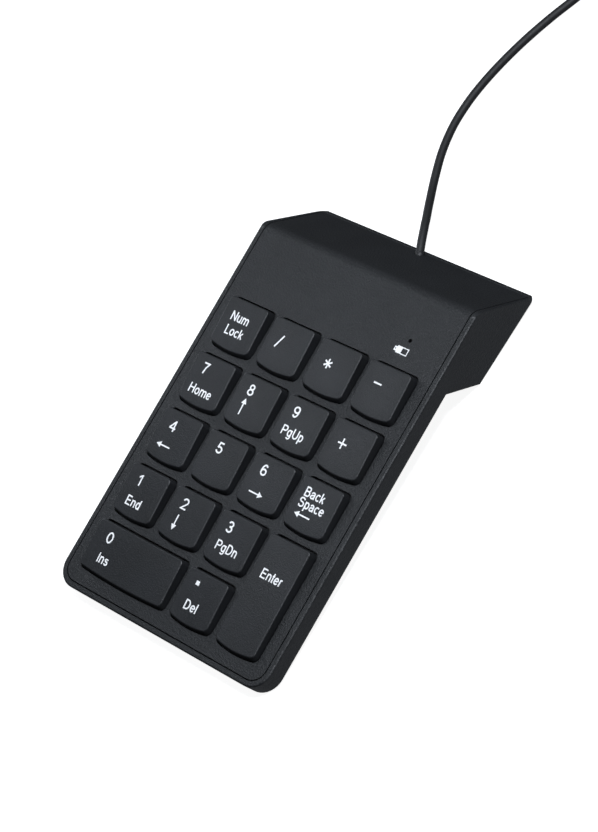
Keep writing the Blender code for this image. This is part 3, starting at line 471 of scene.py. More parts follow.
# ================ camera
def make_camera():
    """A long lens from the right of the keypad, in front and well above."""
    position = Vector((0.520905, -0.150022, 0.65529))
    right = Vector((0.70974, 0.55198, -0.43771))
    up = Vector((-0.34155, 0.81304, 0.47149))
    back = right.cross(up)
    lens = bpy.data.cameras.new("camera")
    lens.lens = 126.2
    lens.sensor_width = 36.0
    camera = bpy.data.objects.new("camera", lens)
    turn = Matrix((right, up, back)).transposed().to_4x4()
    camera.matrix_world = Matrix.Translation(position) @ turn
    bpy.context.scene.collection.objects.link(camera)
    bpy.context.scene.camera = camera


# ================ cord
def smooth_route(route, before, after, spacing):
    """Evenly spaced points on a Catmull-Rom curve through the route.

    The points before and after it only set how the curve heads in and out.
    """
    route = [Vector(point) for point in route]
    padded = [Vector(before), *route, Vector(after)]
    fine = [route[0]]
    steps = 24
    for a, b, c, d in zip(padded, padded[1:], padded[2:], padded[3:]):
        for step in range(1, steps + 1):
            t = step / steps
            bend = 2 * a - 5 * b + 4 * c - d
            twist = 3 * b - a - 3 * c + d
            fine.append((2 * b + (c - a) * t + bend * t**2 + twist * t**3) / 2)
    length = sum((b - a).length for a, b in zip(fine, fine[1:]))
    count = max(2, round(length / spacing))
    gap = length / count
    spaced = [fine[0]]
    walked = 0.0
    for a, b in zip(fine, fine[1:]):
        stretch = (b - a).length
        while walked + stretch >= gap * len(spaced) and len(spaced) < count:
            spaced.append(a.lerp(b, (gap * len(spaced) - walked) / stretch))
        walked += stretch
    return [*spaced, fine[-1]]


def eased(t):
    """0 before 0, 1 after 1, and a smooth step between."""
    t = min(max(t, 0.0), 1.0)
    return t * t * (3 - 2 * t)


def coil_point(travelled):
    """Centre of the cord after this much turning: turns side by side, then the next layer back the other way.

    Every crossing to the next turn or layer has its own stretch of the circle, and higher layers cross first,
    so the cord is nowhere closer to itself than its own thickness.
    """
    gap = 2 * CORD_RADIUS
    radius = COIL_MIDDLE_RADIUS + gap * (COIL_TURNS_WIDE - 1) / 2
    height = CORD_RADIUS + COIL_LIFT
    for turn in range(COIL_TURNS_WIDE * COIL_TURNS_HIGH - 1):
        layer = turn // COIL_TURNS_WIDE
        climbs = (turn + 1) % COIL_TURNS_WIDE == 0
        order = 2 * (COIL_TURNS_HIGH - 1 - layer) - (1 if climbs else 0)
        share = eased((travelled - 2 * math.pi * turn) / COIL_STEP_ANGLE - order)
        if climbs:
            height += gap * share
        else:
            radius += gap * share * (-1 if layer % 2 == 0 else 1)
    angle = COIL_START_ANGLE - travelled
    centre = Vector((*COIL_CENTRE, height))
    return centre + Vector((math.cos(angle), math.sin(angle), 0.0)) * radius


def cord_line():
    """The cord's whole centre line: the lead from the case, the coil, and the tail down to the plug."""
    turns = COIL_TURNS_WIDE * COIL_TURNS_HIGH - 1
    total = 2 * math.pi * turns + COIL_START_ANGLE - COIL_END_ANGLE
    count = round(total / (2 * math.pi) * COIL_POINTS_PER_TURN)
    coil = [coil_point(total * i / count) for i in range(count + 1)]
    reach = 3
    lead_in = Vector(LEAD_ROUTE[0]) * 2 - Vector(LEAD_ROUTE[1])
    lead = smooth_route((*LEAD_ROUTE, coil[0]), lead_in, coil[reach], CORD_SPACING)
    inside_tail = Vector((PLUG_X, TAIL_END_Y - TAIL_LENGTH / 2, PLUG_HEIGHT))
    tail = smooth_route((coil[-1], *TAIL_ROUTE), coil[-1 - reach], inside_tail, CORD_SPACING)
    return [*lead, *coil[1:-1], *tail]


def make_cord(material):
    line = cord_line()
    curve = bpy.data.curves.new("cord", "CURVE")
    curve.dimensions = "3D"
    curve.bevel_depth = CORD_RADIUS
    curve.bevel_resolution = 5
    curve.use_fill_caps = True
    spline = curve.splines.new("POLY")
    spline.points.add(len(line) - 1)
    for target, point in zip(spline.points, line):
        target.co = (*point, 1.0)
    spline.use_smooth = True
    curve.materials.append(material)
    cord = bpy.data.objects.new("cord", curve)
    bpy.context.scene.collection.objects.link(cord)
    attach(cord, "case")
    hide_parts("cord_lead", "cord_coil", "cord_tail")
    return cord


def make_strap(material):
    """Hook-and-loop strap round one side of the coil, with its end lapped over the outside."""
    half_wide = CORD_RADIUS * COIL_TURNS_WIDE + STRAP_GAP
    height = 2 * CORD_RADIUS * COIL_TURNS_HIGH + 2 * STRAP_GAP
    x = COIL_CENTRE[0] + COIL_MIDDLE_RADIUS
    low_z = STRAP_THICKNESS
    strap = bmesh.new()
    for lap, reach in ((0, 0.5), (1, 0.47)):
        bm = bmesh.new()
        out = lap * (STRAP_THICKNESS + STRAP_GAP)
        low = (x - half_wide - out, COIL_CENTRE[1] - STRAP_WIDTH * reach, low_z)
        high = (x + half_wide + out, COIL_CENTRE[1] + STRAP_WIDTH * reach, low_z + height + out)
        add_box(bm, low, high)
        ends = [f for f in bm.faces if abs(f.normal.y) > 0.9]
        bmesh.ops.delete(bm, geom=ends, context="FACES_ONLY")
        along = [e for e in bm.edges if abs((e.verts[0].co - e.verts[1].co).normalized().y) > 0.9]
        round_edges(bm, along, CORD_RADIUS * 0.8 + out, 5)
        if lap:  # it covers only the outer side and the top
            hidden = [f for f in bm.faces if f.normal.x < 0.5 and f.calc_center_median().z < height * 0.75]
            hidden += [f for f in bm.faces if f.normal.x < -0.1 and f not in hidden]
            bmesh.ops.delete(bm, geom=hidden, context="FACES")
        bmesh.ops.solidify(bm, geom=bm.faces[:], thickness=-STRAP_THICKNESS)
        join_in(strap, bm)
    bmesh.ops.recalc_face_normals(strap, faces=strap.faces)
    return add_piece("coil_strap", strap, material, in_deck=False)


def make_plug_grip(material):
    """Moulded grip: eased block, a sunk panel with finger ribs on both faces, and a ringed tapering tail."""
    half_x = GRIP_SIZE[0] / 2
    half_z = GRIP_SIZE[2] / 2
    low = (PLUG_X - half_x, GRIP_FRONT, PLUG_HEIGHT - half_z)
    high = (PLUG_X + half_x, GRIP_REAR, PLUG_HEIGHT + half_z)
    bm = bmesh.new()
    add_box(bm, low, high)
    rear = [e for e in upright_edges(bm) if e.verts[0].co.y > GRIP_REAR - 1e-6]
    round_edges(bm, rear, GRIP_CORNER, 6)
    sharp = [e for e in bm.edges if e.calc_face_angle() > math.radians(50)]
    round_edges(bm, sharp, GRIP_EDGE, 5)
    broad = [f for f in bm.faces if abs(f.normal.z) > 0.99 and f.calc_area() > 0.0001]
    bmesh.ops.inset_individual(bm, faces=broad, thickness=PANEL_MARGIN, depth=0.0)
    bmesh.ops.inset_individual(bm, faces=broad, thickness=PANEL_DEPTH, depth=-PANEL_DEPTH)
    rib_length, rib_width = RIB_SIZE
    for side in (-1, 1):
        for rib in range(RIBS):
            y = GRIP_FRONT + RIB_START + rib * RIB_SPACING
            z = PLUG_HEIGHT + side * (half_z - PANEL_DEPTH)
            low = (PLUG_X - rib_length / 2, y, z - RIB_ROOT)
            high = (PLUG_X + rib_length / 2, y + rib_width, z + RIB_HEIGHT)
            ridge = bmesh.new()
            add_box(ridge, low, high)
            round_edges(ridge, ridge.edges[:], 0.0002, 2)
            join_in(bm, ridge)
    rings = [(0.0, -0.0012), (TAIL_RADIUS, -0.0012), (TAIL_RADIUS, 0.0004)]
    for ring in range(TAIL_RINGS):
        y = 0.0004 + ring * TAIL_RING_SPACING
        wide = TAIL_RADIUS - TAIL_TAPER * y / TAIL_LENGTH
        narrow = wide - TAIL_GROOVE
        ring_end = y + TAIL_RING_LENGTH
        rings += [(wide, y), (wide, ring_end), (narrow, ring_end + 0.0001), (narrow, ring_end + 0.0006)]
    rings += [(0.0018, TAIL_LENGTH - 0.0003), (0.0015, TAIL_LENGTH), (0.0, TAIL_LENGTH)]
    place = Matrix.Translation((PLUG_X, GRIP_REAR, PLUG_HEIGHT)) @ Matrix.Rotation(-math.pi / 2, 4, "X")
    join_in(bm, turned(rings, 32, place))
    return add_piece("plug_body", bm, material, replaces=("plug_grip",), in_deck=False)


def make_plug_shell(material):
    """Folded steel sleeve, open in front, with two latch windows in each broad face."""
    half_x = SLEEVE_SIZE[0] / 2
    half_z = SLEEVE_SIZE[2] / 2
    low = (PLUG_X - half_x, SLEEVE_FRONT, PLUG_HEIGHT - half_z)
    high = (PLUG_X + half_x, SLEEVE_REAR, PLUG_HEIGHT + half_z)
    bm = bmesh.new()
    add_box(bm, low, high)
    mouth = [f for f in bm.faces if f.normal.y < -0.9]
    bmesh.ops.delete(bm, geom=mouth, context="FACES_ONLY")
    for middle in (-WINDOW_X, WINDOW_X):
        for edge in (-WINDOW_SIDE / 2, WINDOW_SIDE / 2):
            cut(bm, (PLUG_X + middle + edge, 0, 0), (1, 0, 0))
    for y in (WINDOW_Y, WINDOW_Y + WINDOW_SIDE):
        cut(bm, (0, y, 0), (0, 1, 0))
    windows = []
    for f in bm.faces:
        middle = f.calc_center_median()
        across = abs(abs(middle.x - PLUG_X) - WINDOW_X) < WINDOW_SIDE / 2
        along = 0 < middle.y - WINDOW_Y < WINDOW_SIDE
        if across and along and abs(f.normal.z) > 0.9:
            windows.append(f)
    bmesh.ops.delete(bm, geom=windows, context="FACES_ONLY")
    folds = []
    for e in bm.edges:
        a, b = (v.co for v in e.verts)
        corner = abs(abs(a.x - PLUG_X) - half_x) < 1e-6 and abs(abs(a.z - PLUG_HEIGHT) - half_z) < 1e-6
        if corner and abs((a - b).normalized().y) > 0.9:
            folds.append(e)
    round_edges(bm, folds, SLEEVE_FOLD, 4)
    bmesh.ops.solidify(bm, geom=bm.faces[:], thickness=SLEEVE_WALL)
    bmesh.ops.recalc_face_normals(bm, faces=bm.faces)
    return add_piece("plug_sleeve", bm, material, replaces=("plug_shell",), in_deck=False)


def make_plug_tongue(plastic, gilt):
    """The insulating tongue inside the sleeve and its four contacts."""
    front = SLEEVE_FRONT + TONGUE_DEPTH
    low = (PLUG_X - TONGUE_WIDTH / 2, front, TONGUE_BOTTOM)
    high = (PLUG_X + TONGUE_WIDTH / 2, TONGUE_BACK, TONGUE_TOP)
    bm = bmesh.new()
    add_box(bm, low, high)
    round_edges(bm, [e for e in bm.edges if all(v.co.y < front + 0.0001 for v in e.verts)], 0.0003, 2)
    tongue = add_piece("plug_tongue", bm, plastic, in_deck=False)
    bm = bmesh.new()
    for middle, edge in CONTACTS:
        x = PLUG_X + middle
        low = (x - CONTACT_WIDTH / 2, SLEEVE_FRONT + edge, TONGUE_TOP - CONTACT_THICKNESS / 2)
        high = (x + CONTACT_WIDTH / 2, TONGUE_BACK, TONGUE_TOP + CONTACT_THICKNESS / 2)
        strip = bmesh.new()
        add_box(strip, low, high)
        round_edges(strip, strip.edges[:], 0.00008, 1)
        join_in(bm, strip)
    contacts = add_piece("plug_contacts", bm, gilt, in_deck=False)
    return tongue, contacts


def make_strain_relief(material):
    """Moulded sleeve with rings, where the cord leaves the case."""
    low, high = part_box("strain_relief")
    length = high.y - low.y
    height = (low.z + high.z) / 2
    radius = (high.z - low.z) / 2
    ring_radius = radius - 0.0001
    rings = [(0.0, 0.0), (radius, 0.0), (radius, length * 0.55)]
    for ring in range(3):
        y = length * (0.60 + 0.13 * ring)
        rings += [(ring_radius, y), (ring_radius, y + 0.0006), (radius - 0.0002, y + 0.0008)]
    rings += [(ring_radius, length - 0.0002), (radius - 0.0004, length), (0.0, length)]
    place = Matrix.Translation((0.0, low.y, height)) @ Matrix.Rotation(-math.pi / 2, 4, "X")
    bm = turned(rings, 32, place)
    add_piece("cord_sleeve", bm, material, replaces=("strain_relief",), in_deck=False)


# ================ materials
MOULD_GRAIN = 0.00060  # drawn coarser than real: a spark-eroded mould leaves pits about 0.1 mm wide
FLOW_CLOUD = 0.014  # slow change of tone from how the melt flowed


def grain_bump(tree, shader, size, strength, depth, rough=None):
    """Fine pitted grain of a mould. It can also spread the roughness between a low and a high value."""
    place = add_node(tree, "ShaderNodeTexCoord").outputs["Object"]
    grain = {"Vector": place, "Scale": 1 / size, "Detail": 3.0, "Roughness": 0.6}
    pits = add_node(tree, "ShaderNodeTexNoise", grain).outputs["Fac"]
    bump = add_node(tree, "ShaderNodeBump", {"Height": pits, "Strength": strength, "Distance": depth})
    tree.links.new(bump.outputs["Normal"], shader.inputs["Normal"])
    if rough:
        spread = {"Value": pits, "From Min": 0.3, "From Max": 0.7, "To Min": rough[0], "To Max": rough[1]}
        level = add_node(tree, "ShaderNodeMapRange", spread)
        tree.links.new(level.outputs["Result"], shader.inputs["Roughness"])


def tone(tree, shader, dark, light, size):
    """Colour that drifts slowly between two near tones."""
    place = add_node(tree, "ShaderNodeTexCoord").outputs["Object"]
    cloud = add_node(tree, "ShaderNodeTexNoise", {"Vector": place, "Scale": 1 / size, "Detail": 2.0})
    ramp = add_node(tree, "ShaderNodeValToRGB", {"Fac": cloud.outputs["Fac"]})
    ramp.color_ramp.elements[0].position = 0.35
    ramp.color_ramp.elements[0].color = sheet_colour(dark)
    ramp.color_ramp.elements[1].position = 0.65
    ramp.color_ramp.elements[1].color = sheet_colour(light)
    tree.links.new(ramp.outputs["Color"], shader.inputs["Base Color"])


def plain_material(name, dark, light, cloud, grain=None, rough=None, **values):
    """A material that drifts between two near tones, with a grain if it has one."""
    made, tree, shader = new_material(name, **values)
    if grain:
        grain_bump(tree, shader, *grain, rough)
    tone(tree, shader, dark, light, cloud)
    return made


def textured_abs():
    """ABS moulded in a spark-eroded tool: near black, matt, with an even grain and a faint drift of tone."""
    grain = (MOULD_GRAIN, 1.0, 0.00024)
    rough = (0.46, 0.58)
    return plain_material("spark_textured_abs", "141618", "181a1c", FLOW_CLOUD, grain, rough, IOR=1.54)


def keycap_abs():
    """ABS keycaps, moulded finer than the case and faintly polished by fingers in the middle of each top."""
    made, tree, shader = new_material("moulded_keycap_abs", IOR=1.54)
    grain_bump(tree, shader, MOULD_GRAIN * 0.8, 0.90, 0.00012)
    tone(tree, shader, "151719", "191b1e", FLOW_CLOUD)
    touch = add_node(tree, "ShaderNodeAttribute", attribute_name="touch").outputs["Fac"]
    place = add_node(tree, "ShaderNodeTexCoord").outputs["Object"]
    smear = add_node(tree, "ShaderNodeTexNoise", {"Vector": place, "Scale": 1 / 0.004, "Detail": 4.0})
    polish = add_node(tree, "ShaderNodeMath", {0: touch, 1: smear.outputs["Fac"]}, operation="MULTIPLY")
    spread = {"Value": polish.outputs[0], "From Min": 0.0, "From Max": 0.6, "To Min": 0.50, "To Max": 0.40}
    level = add_node(tree, "ShaderNodeMapRange", spread)
    tree.links.new(level.outputs["Result"], shader.inputs["Roughness"])
    return made


def legend_ink():
    """Screen-printed white ink: chalky and slightly uneven."""
    grain = (0.0002, 0.15, 0.00001)
    return plain_material("printed_white_ink", "f2f3f3", "fbfbfb", 0.0006, grain, Roughness=0.55, IOR=1.5)


def silicone_rubber():
    """Moulded silicone: soft and dusty, and it lets a little light in."""
    grain = (0.0004, 0.15, 0.00003)
    soft = {"Roughness": 0.6, "IOR": 1.41, "Subsurface_Weight": 0.25, "Subsurface_Scale": 0.001}
    return plain_material("moulded_silicone", "b4b8b6", "c6cac8", 0.003, grain, **soft)


def foot_rubber():
    """Die-cut elastomer pads: dead matt black with a dusty bloom."""
    grain = (0.0003, 0.5, 0.00006)
    return plain_material("elastomer_foot", "121212", "1c1c1d", 0.002, grain, Roughness=0.9, IOR=1.5)


def pvc_jacket():
    """Extruded soft PVC: satin black and very faintly uneven."""
    grain = (0.0007, 0.12, 0.00004)
    return plain_material("extruded_pvc", "0e0f10", "151617", 0.006, grain, (0.58, 0.68), IOR=1.53)


def overmould_pvc():
    """Overmoulded PVC: matt, with the grain of a bead-blasted tool, drawn coarser than real."""
    grain = (0.0004, 0.35, 0.00006)
    return plain_material("overmoulded_pvc", "17181a", "1f2123", 0.005, grain, (0.48, 0.60), IOR=1.53)


def loop_tape():
    """Loop side of hook-and-loop tape: a nap of fine loops, which scatters light like felt."""
    made, tree, shader = new_material("looped_nylon", Roughness=0.95, IOR=1.53, Sheen_Weight=0.4)
    place = add_node(tree, "ShaderNodeTexCoord").outputs["Object"]
    loops = add_node(tree, "ShaderNodeTexVoronoi", {"Vector": place, "Scale": 1 / 0.0004}).outputs["Distance"]
    bump = add_node(tree, "ShaderNodeBump", {"Height": loops, "Strength": 0.8, "Distance": 0.0002})
    tree.links.new(bump.outputs["Normal"], shader.inputs["Normal"])
    tone(tree, shader, "0f1011", "1d1e20", 0.0008)
    return made


def metal(name, dark, light, rough_low, rough_high, along):
    """Plated or rolled metal with draw lines along one axis, drawn wider apart than real."""
    made, tree, shader = new_material(name, Metallic=1.0)
    place = add_node(tree, "ShaderNodeTexCoord").outputs["Object"]
    stretched = add_node(tree, "ShaderNodeMapping", {"Vector": place, "Scale": along}).outputs["Vector"]
    noise = add_node(tree, "ShaderNodeTexNoise", {"Vector": stretched, "Scale": 1.0, "Detail": 4.0})
    lines = noise.outputs["Fac"]
    tone(tree, shader, dark, light, 0.004)
    spread = {"Value": lines, "From Min": 0.3, "From Max": 0.7, "To Min": rough_low, "To Max": rough_high}
    level = add_node(tree, "ShaderNodeMapRange", spread)
    tree.links.new(level.outputs["Result"], shader.inputs["Roughness"])
    bump = add_node(tree, "ShaderNodeBump", {"Height": lines, "Strength": 0.08, "Distance": 0.00003})
    tree.links.new(bump.outputs["Normal"], shader.inputs["Normal"])
    return made


def clear_film():
    """PET film printed with silver ink: pale and smooth."""
    return plain_material("printed_pet_film", "b9beb8", "cdd2cc", 0.02, Roughness=0.3, IOR=1.57)


def solder_mask():
    """Glass-epoxy board under green solder mask, with the weave just showing."""
    grain = (0.0005, 0.3, 0.00003)
    coat = {"Roughness": 0.4, "IOR": 1.55, "Coat_Weight": 0.4, "Coat_Roughness": 0.2}
    made = plain_material("masked_glass_epoxy", "12492a", "1b5c36", 0.004, grain, **coat)
    made.node_tree.nodes["Color Ramp"].color_ramp.interpolation = "EASE"
    return made


def chip_epoxy():
    """Transfer-moulded epoxy: charcoal, eggshell matt, with its grain drawn coarser than real."""
    grain = (0.0002, 0.3, 0.00002)
    return plain_material("moulded_epoxy", "17181a", "202224", 0.002, grain, Roughness=0.55, IOR=1.55)


def smoked_acrylic():
    """Smoked acrylic light pipe: black when unlit, with a frosted end."""
    frosted = {"Roughness": 0.40, "IOR": 1.49, "Specular_IOR_Level": 0.05}
    return plain_material("smoked_acrylic", "020202", "040404", 0.001, **frosted)


# ================ case
def refined(node, name, material, edge):
    """Adds a copy of a CAD shell with its flats merged and its sharp edges eased as a mould leaves them."""
    bm = bmesh.new()
    bm.from_mesh(frame["nodes"][node].data)
    bmesh.ops.remove_doubles(bm, verts=bm.verts, dist=2e-6)
    bmesh.ops.dissolve_limit(bm, angle_limit=math.radians(0.8), verts=bm.verts[:], edges=bm.edges[:])
    sharp = [e for e in bm.edges if len(e.link_faces) == 2 and e.calc_face_angle() > math.radians(38)]
    round_edges(bm, sharp, edge, 2, clamp=True)
    add_piece(name, bm, material, replaces=(node,), in_deck=False, smooth=40)


# ================ keys
def key_place(key):
    """Centre of a key in the deck frame, and how much longer it is than a single key each way."""
    column, row, wide, deep = KEYS[key]
    x = FIRST_COLUMN_X + PITCH * (column + (wide - 1) / 2)
    y = FIRST_ROW_Y - PITCH * (row + (deep - 1) / 2)
    return x, y, PITCH * (wide - 1), PITCH * (deep - 1)


def key_top(x, y, more_x, more_y):
    """Height of a key's top: sloping down to the front and dished across."""
    front = -KEY_TOP_FRONT - more_y / 2
    rear = KEY_TOP_REAR + more_y / 2
    slope = KEY_FRONT_Z + (KEY_REAR_Z - KEY_FRONT_Z) * (y - front) / (rear - front)
    across = x / ((KEY_TOP_WIDTH + more_x) / 2)
    return slope - KEY_DISH * max(1 - across**2, 0.0)


def cut_places(more_x, more_y):
    """Places of the cuts that let a key's top take its dish, from its centre."""
    half_x = (KEY_TOP_WIDTH + more_x) / 2 - KEY_CORNER_RADIUS
    half_y = (KEY_TOP_REAR + KEY_TOP_FRONT + more_y) / 2 - KEY_CORNER_RADIUS
    middle_y = (KEY_TOP_REAR - KEY_TOP_FRONT) / 2
    steps = [2 * i / KEY_CUTS - 1 for i in range(KEY_CUTS + 1)]
    return [s * half_x for s in steps], [middle_y + s * half_y for s in steps[1:]]


def make_keycap(key, material):
    """A thin-walled cap with a dished top and a bowed front edge, on its tubular stem."""
    x, y, more_x, more_y = key_place(key)
    base_x = (KEY_BASE_WIDTH + more_x) / 2
    base_y = (KEY_BASE_DEPTH + more_y) / 2
    bow = WIDE_KEY_BOW if more_x else KEY_BOW
    front = -base_y + bow
    bm = bmesh.new()
    add_box(bm, (-base_x, front, KEY_SKIRT_Z), (base_x, base_y, KEY_REAR_Z))
    round_edges(bm, upright_edges(bm), KEY_CORNER_RADIUS, 6)
    across, along = cut_places(more_x, more_y)
    for place in across:
        cut(bm, (place, 0, 0), (1, 0, 0))
    for place in along[:-1]:
        cut(bm, (0, place, 0), (0, 1, 0))
    top = [v for v in bm.verts if v.co.z > KEY_REAR_Z - 1e-7]
    top_front = -KEY_TOP_FRONT - more_y / 2
    top_rear = KEY_TOP_REAR + more_y / 2
    for v in bm.verts:
        nearness = min(max((front + BOW_REACH - v.co.y) / BOW_REACH, 0.0), 1.0)
        v.co.y -= bow * nearness * (1 - (v.co.x / base_x) ** 2)
    for v in top:
        share = (v.co.y + base_y) / (2 * base_y)
        v.co.x *= (KEY_TOP_WIDTH + more_x) / 2 / base_x
        v.co.y = top_front + (top_rear - top_front) * share
        v.co.z = key_top(v.co.x, v.co.y, more_x, more_y)
    top_set = set(top)
    rim = []
    for e in bm.edges:
        if e.verts[0] in top_set and e.verts[1] in top_set:
            if any(v not in top_set for f in e.link_faces for v in f.verts):
                rim.append(e)
    round_edges(bm, rim, KEY_EDGE_ROUNDING, 4)
    bottom = [f for f in bm.faces if all(v.co.z < KEY_SKIRT_Z + 1e-7 for v in f.verts)]
    bmesh.ops.delete(bm, geom=bottom, context="FACES")
    bmesh.ops.recalc_face_normals(bm, faces=bm.faces)
    bmesh.ops.solidify(bm, geom=bm.faces[:], thickness=KEY_WALL)
    for v in bm.verts:
        v.co.z = max(v.co.z, KEY_SKIRT_Z)
    stem = [(0.0, STEM_TOP), (STEM_RADIUS, STEM_TOP), (STEM_RADIUS, STEM_BOTTOM)]
    stem += [(STEM_HOLLOW_RADIUS, STEM_BOTTOM), (STEM_HOLLOW_RADIUS, STEM_HOLLOW_TOP)]
    stem += [(PLUNGER_RADIUS, STEM_HOLLOW_TOP), (PLUNGER_RADIUS, PLUNGER_BOTTOM), (0.0, PLUNGER_BOTTOM)]
    post = turned(stem, 32)
    for v in post.verts:
        if v.co.z > STEM_TOP - 1e-7:
            v.co.z = key_top(v.co.x, v.co.y, more_x, more_y) - KEY_WALL / 2
    join_in(bm, post)
    layer = bm.verts.layers.float.new("touch")
    for v in bm.verts:
        away_x = abs(v.co.x) / (base_x * 0.95)
        away_y = abs(v.co.y) / (base_y * 0.95)
        v[layer] = max(1 - away_x**3, 0.0) * max(1 - away_y**3, 0.0)
    bm.transform(Matrix.Translation((x, y, 0.0)))
    add_piece(f"keycap_{key}", bm, material, f"{key}_key", (f"key_{key}",), smooth=30)


# ================ legends
def stroke_points(stroke):
    """The points of a stroke's centre line, with its arcs drawn out, and whether it closes on itself."""
    points = []
    for item in stroke:
        if len(item) == 2:
            points.append(Vector(item))
            continue
        x, y, half_x, half_y, start, end = item
        count = max(2, round(abs(end - start) / 15))
        for step in range(count + 1):
            angle = math.radians(start + (end - start) * step / count)
            points.append(Vector((x + half_x * math.cos(angle), y + half_y * math.sin(angle))))
    closed = (points[0] - points[-1]).length < 1e-6
    return (points[:-1] if closed else points), closed


def flat_stroke(points, width, closed=False):
    """A flat ribbon of even width along a centre line, mitred at its corners and square at its ends."""
    bm = bmesh.new()
    pairs = []
    for i, point in enumerate(points):
        before = points[i - 1] if i or closed else None
        after = points[(i + 1) % len(points)] if closed or i < len(points) - 1 else None
        ends = ((before, point), (point, after))
        ways = [(b - a).normalized() for a, b in ends if a is not None and b is not None]
        along = sum(ways, Vector((0.0, 0.0))).normalized()
        side = Vector((-along.y, along.x))
        reach = width / 2 / max(side.dot(Vector((-ways[0].y, ways[0].x))), 0.5)
        pairs.append([bm.verts.new((*(point + side * reach * way), 0.0)) for way in (1, -1)])
    if closed:
        pairs.append(pairs[0])
    for (a, b), (c, d) in zip(pairs, pairs[1:]):
        bm.faces.new((a, b, d, c))
    return bm


def flat_text(text):
    """The separate flat strokes of a word or a digit, centred on the origin."""
    wide, capital_height = (DIGIT_WIDTH, DIGIT_HEIGHT) if text.isdigit() else (WORD_WIDTH, WORD_HEIGHT)
    strokes = []
    reach = 0.0
    for letter in text:
        room, runs = LETTERS[letter]
        for run in runs:
            points, closed = stroke_points(run)
            strokes.append(([Vector(((point.x + reach) * wide, point.y)) for point in points], closed))
        reach += room
    made = []
    middle = Vector((reach * wide / 2, 0.5))
    for points, closed in strokes:
        placed = [(point - middle) * capital_height for point in points]
        made.append(flat_stroke(placed, LETTER_STROKE * capital_height, closed))
    return made


def flat_bar(centre, length, stroke, degrees):
    half = Vector((math.cos(math.radians(degrees)), math.sin(math.radians(degrees)))) * length / 2
    centre = Vector(centre)
    return flat_stroke([centre - half, centre + half], stroke)


def flat_arrow(tail, tip):
    """A thin shaft and a slender solid head."""
    tail = Vector(tail)
    tip = Vector(tip)
    along = (tip - tail).normalized()
    side = Vector((-along.y, along.x))
    wide, long = ARROW_HEAD
    neck = tip - along * long
    head = bmesh.new()
    corners = (neck + side * wide / 2, neck - side * wide / 2, tip)
    head.faces.new([head.verts.new((*corner, 0.0)) for corner in corners])
    return [flat_stroke([tail, neck + along * long / 4], ARROW_SHAFT), head]


def print_marks(marks, place, height, cuts=()):
    """Gives flat marks their thickness of ink on a surface whose height is a function of the place on it."""
    printed = bmesh.new()
    for order, mark in enumerate(marks):
        mark.transform(Matrix.Translation((*place, 0.0)))
        bmesh.ops.recalc_face_normals(mark, faces=mark.faces)
        if sum(f.normal.z * f.calc_area() for f in mark.faces) < 0:
            bmesh.ops.reverse_faces(mark, faces=mark.faces)
        for at in cuts:
            cut(mark, (at, 0, 0), (1, 0, 0))
        base = mark.faces[:]
        made = bmesh.ops.extrude_face_region(mark, geom=base, use_keep_orig=True)
        raised = {g for g in made["geom"] if isinstance(g, bmesh.types.BMVert)}
        for v in mark.verts:
            ink = INK_TOP + INK_STEP * order if v in raised else INK_BOTTOM
            v.co.z = height(v.co.x, v.co.y) + ink
        bmesh.ops.recalc_face_normals(mark, faces=mark.faces)
        join_in(printed, mark)
    return printed


def make_legend(key, material):
    """The print on one key: words or a digit, signs and arrows."""
    x, y, more_x, more_y = key_place(key)
    cuts = cut_places(more_x, more_y)[0]
    marks = [flat_bar(*bar) for bar in BARS.get(key, ())]
    if key in ARROWS:
        marks += flat_arrow(*ARROWS[key])
    for text, centre in WORDS.get(key, ()):
        word = flat_text(text)
        for mark in word:
            mark.transform(Matrix.Translation((*centre, 0.0)))
        marks += word
    bm = print_marks(marks, (0.0, 0.0), lambda at_x, at_y: key_top(at_x, at_y, more_x, more_y), cuts)
    bm.transform(Matrix.Translation((x, y, 0.0)))
    add_piece(f"legend_{key}", bm, material, f"{key}_key")


def nub_bars(right_end):
    """The battery's nub, as bars round a small slot."""
    length, height = BATTERY_NUB
    slot_length, slot_height = BATTERY_SLOT
    side = (height - slot_height) / 2
    end = (length - slot_length) / 2
    middle = right_end - length / 2
    bars = [flat_bar((middle, way * (slot_height + side) / 2), length, side, 0) for way in (-1, 1)]
    bars += [flat_bar((middle + way * (slot_length + end) / 2, 0.0), end, slot_height, 0) for way in (-1, 1)]
    return bars


def make_battery_mark(material):
    """Battery outline beside the light window: a thin frame, partly filled, with a nub on its left end."""
    half_x, half_y = (side / 2 for side in BATTERY_SIZE)
    line = BATTERY_LINE
    fill = BATTERY_SIZE[0] * BATTERY_FILL
    inner_height = BATTERY_SIZE[1] - 2 * line
    marks = [
        flat_bar((0.0, half_y - line / 2), BATTERY_SIZE[0], line, 0),
        flat_bar((0.0, line / 2 - half_y), BATTERY_SIZE[0], line, 0),
        flat_bar((half_x - line / 2, 0.0), inner_height, line, 90),
        flat_bar((fill / 2 - half_x, 0.0), inner_height, fill, 90),
        *nub_bars(-half_x),
    ]
    printed = print_marks(marks, BATTERY_CENTRE, lambda x, y: 0.0)
    add_piece("battery_mark", printed, material)


# ================ domes
def make_dome(key, material):
    """Rubber dome: flat flange, collapsing skirt and a small top."""
    x, y, _, _ = key_place(key)
    base = -0.00456
    top = -0.0010
    profile = [(0.0, top), (0.0013, top), (0.0017, top - 0.0001), (0.0019, top - 0.0004)]
    profile += [(0.0029, base + 0.0008), (0.0032, base + 0.0005), (0.0040, base + 0.0004), (0.0040, base)]
    profile += [(0.0027, base), (0.0014, top - 0.0007), (0.0012, top - 0.0006), (0.0, top - 0.0006)]
    bm = turned(profile, 28, Matrix.Translation((x, y, 0.0)))
    dome = add_piece(f"rubber_dome_{key}", bm, material, replaces=(f"dome_{key}",))
    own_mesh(dome)


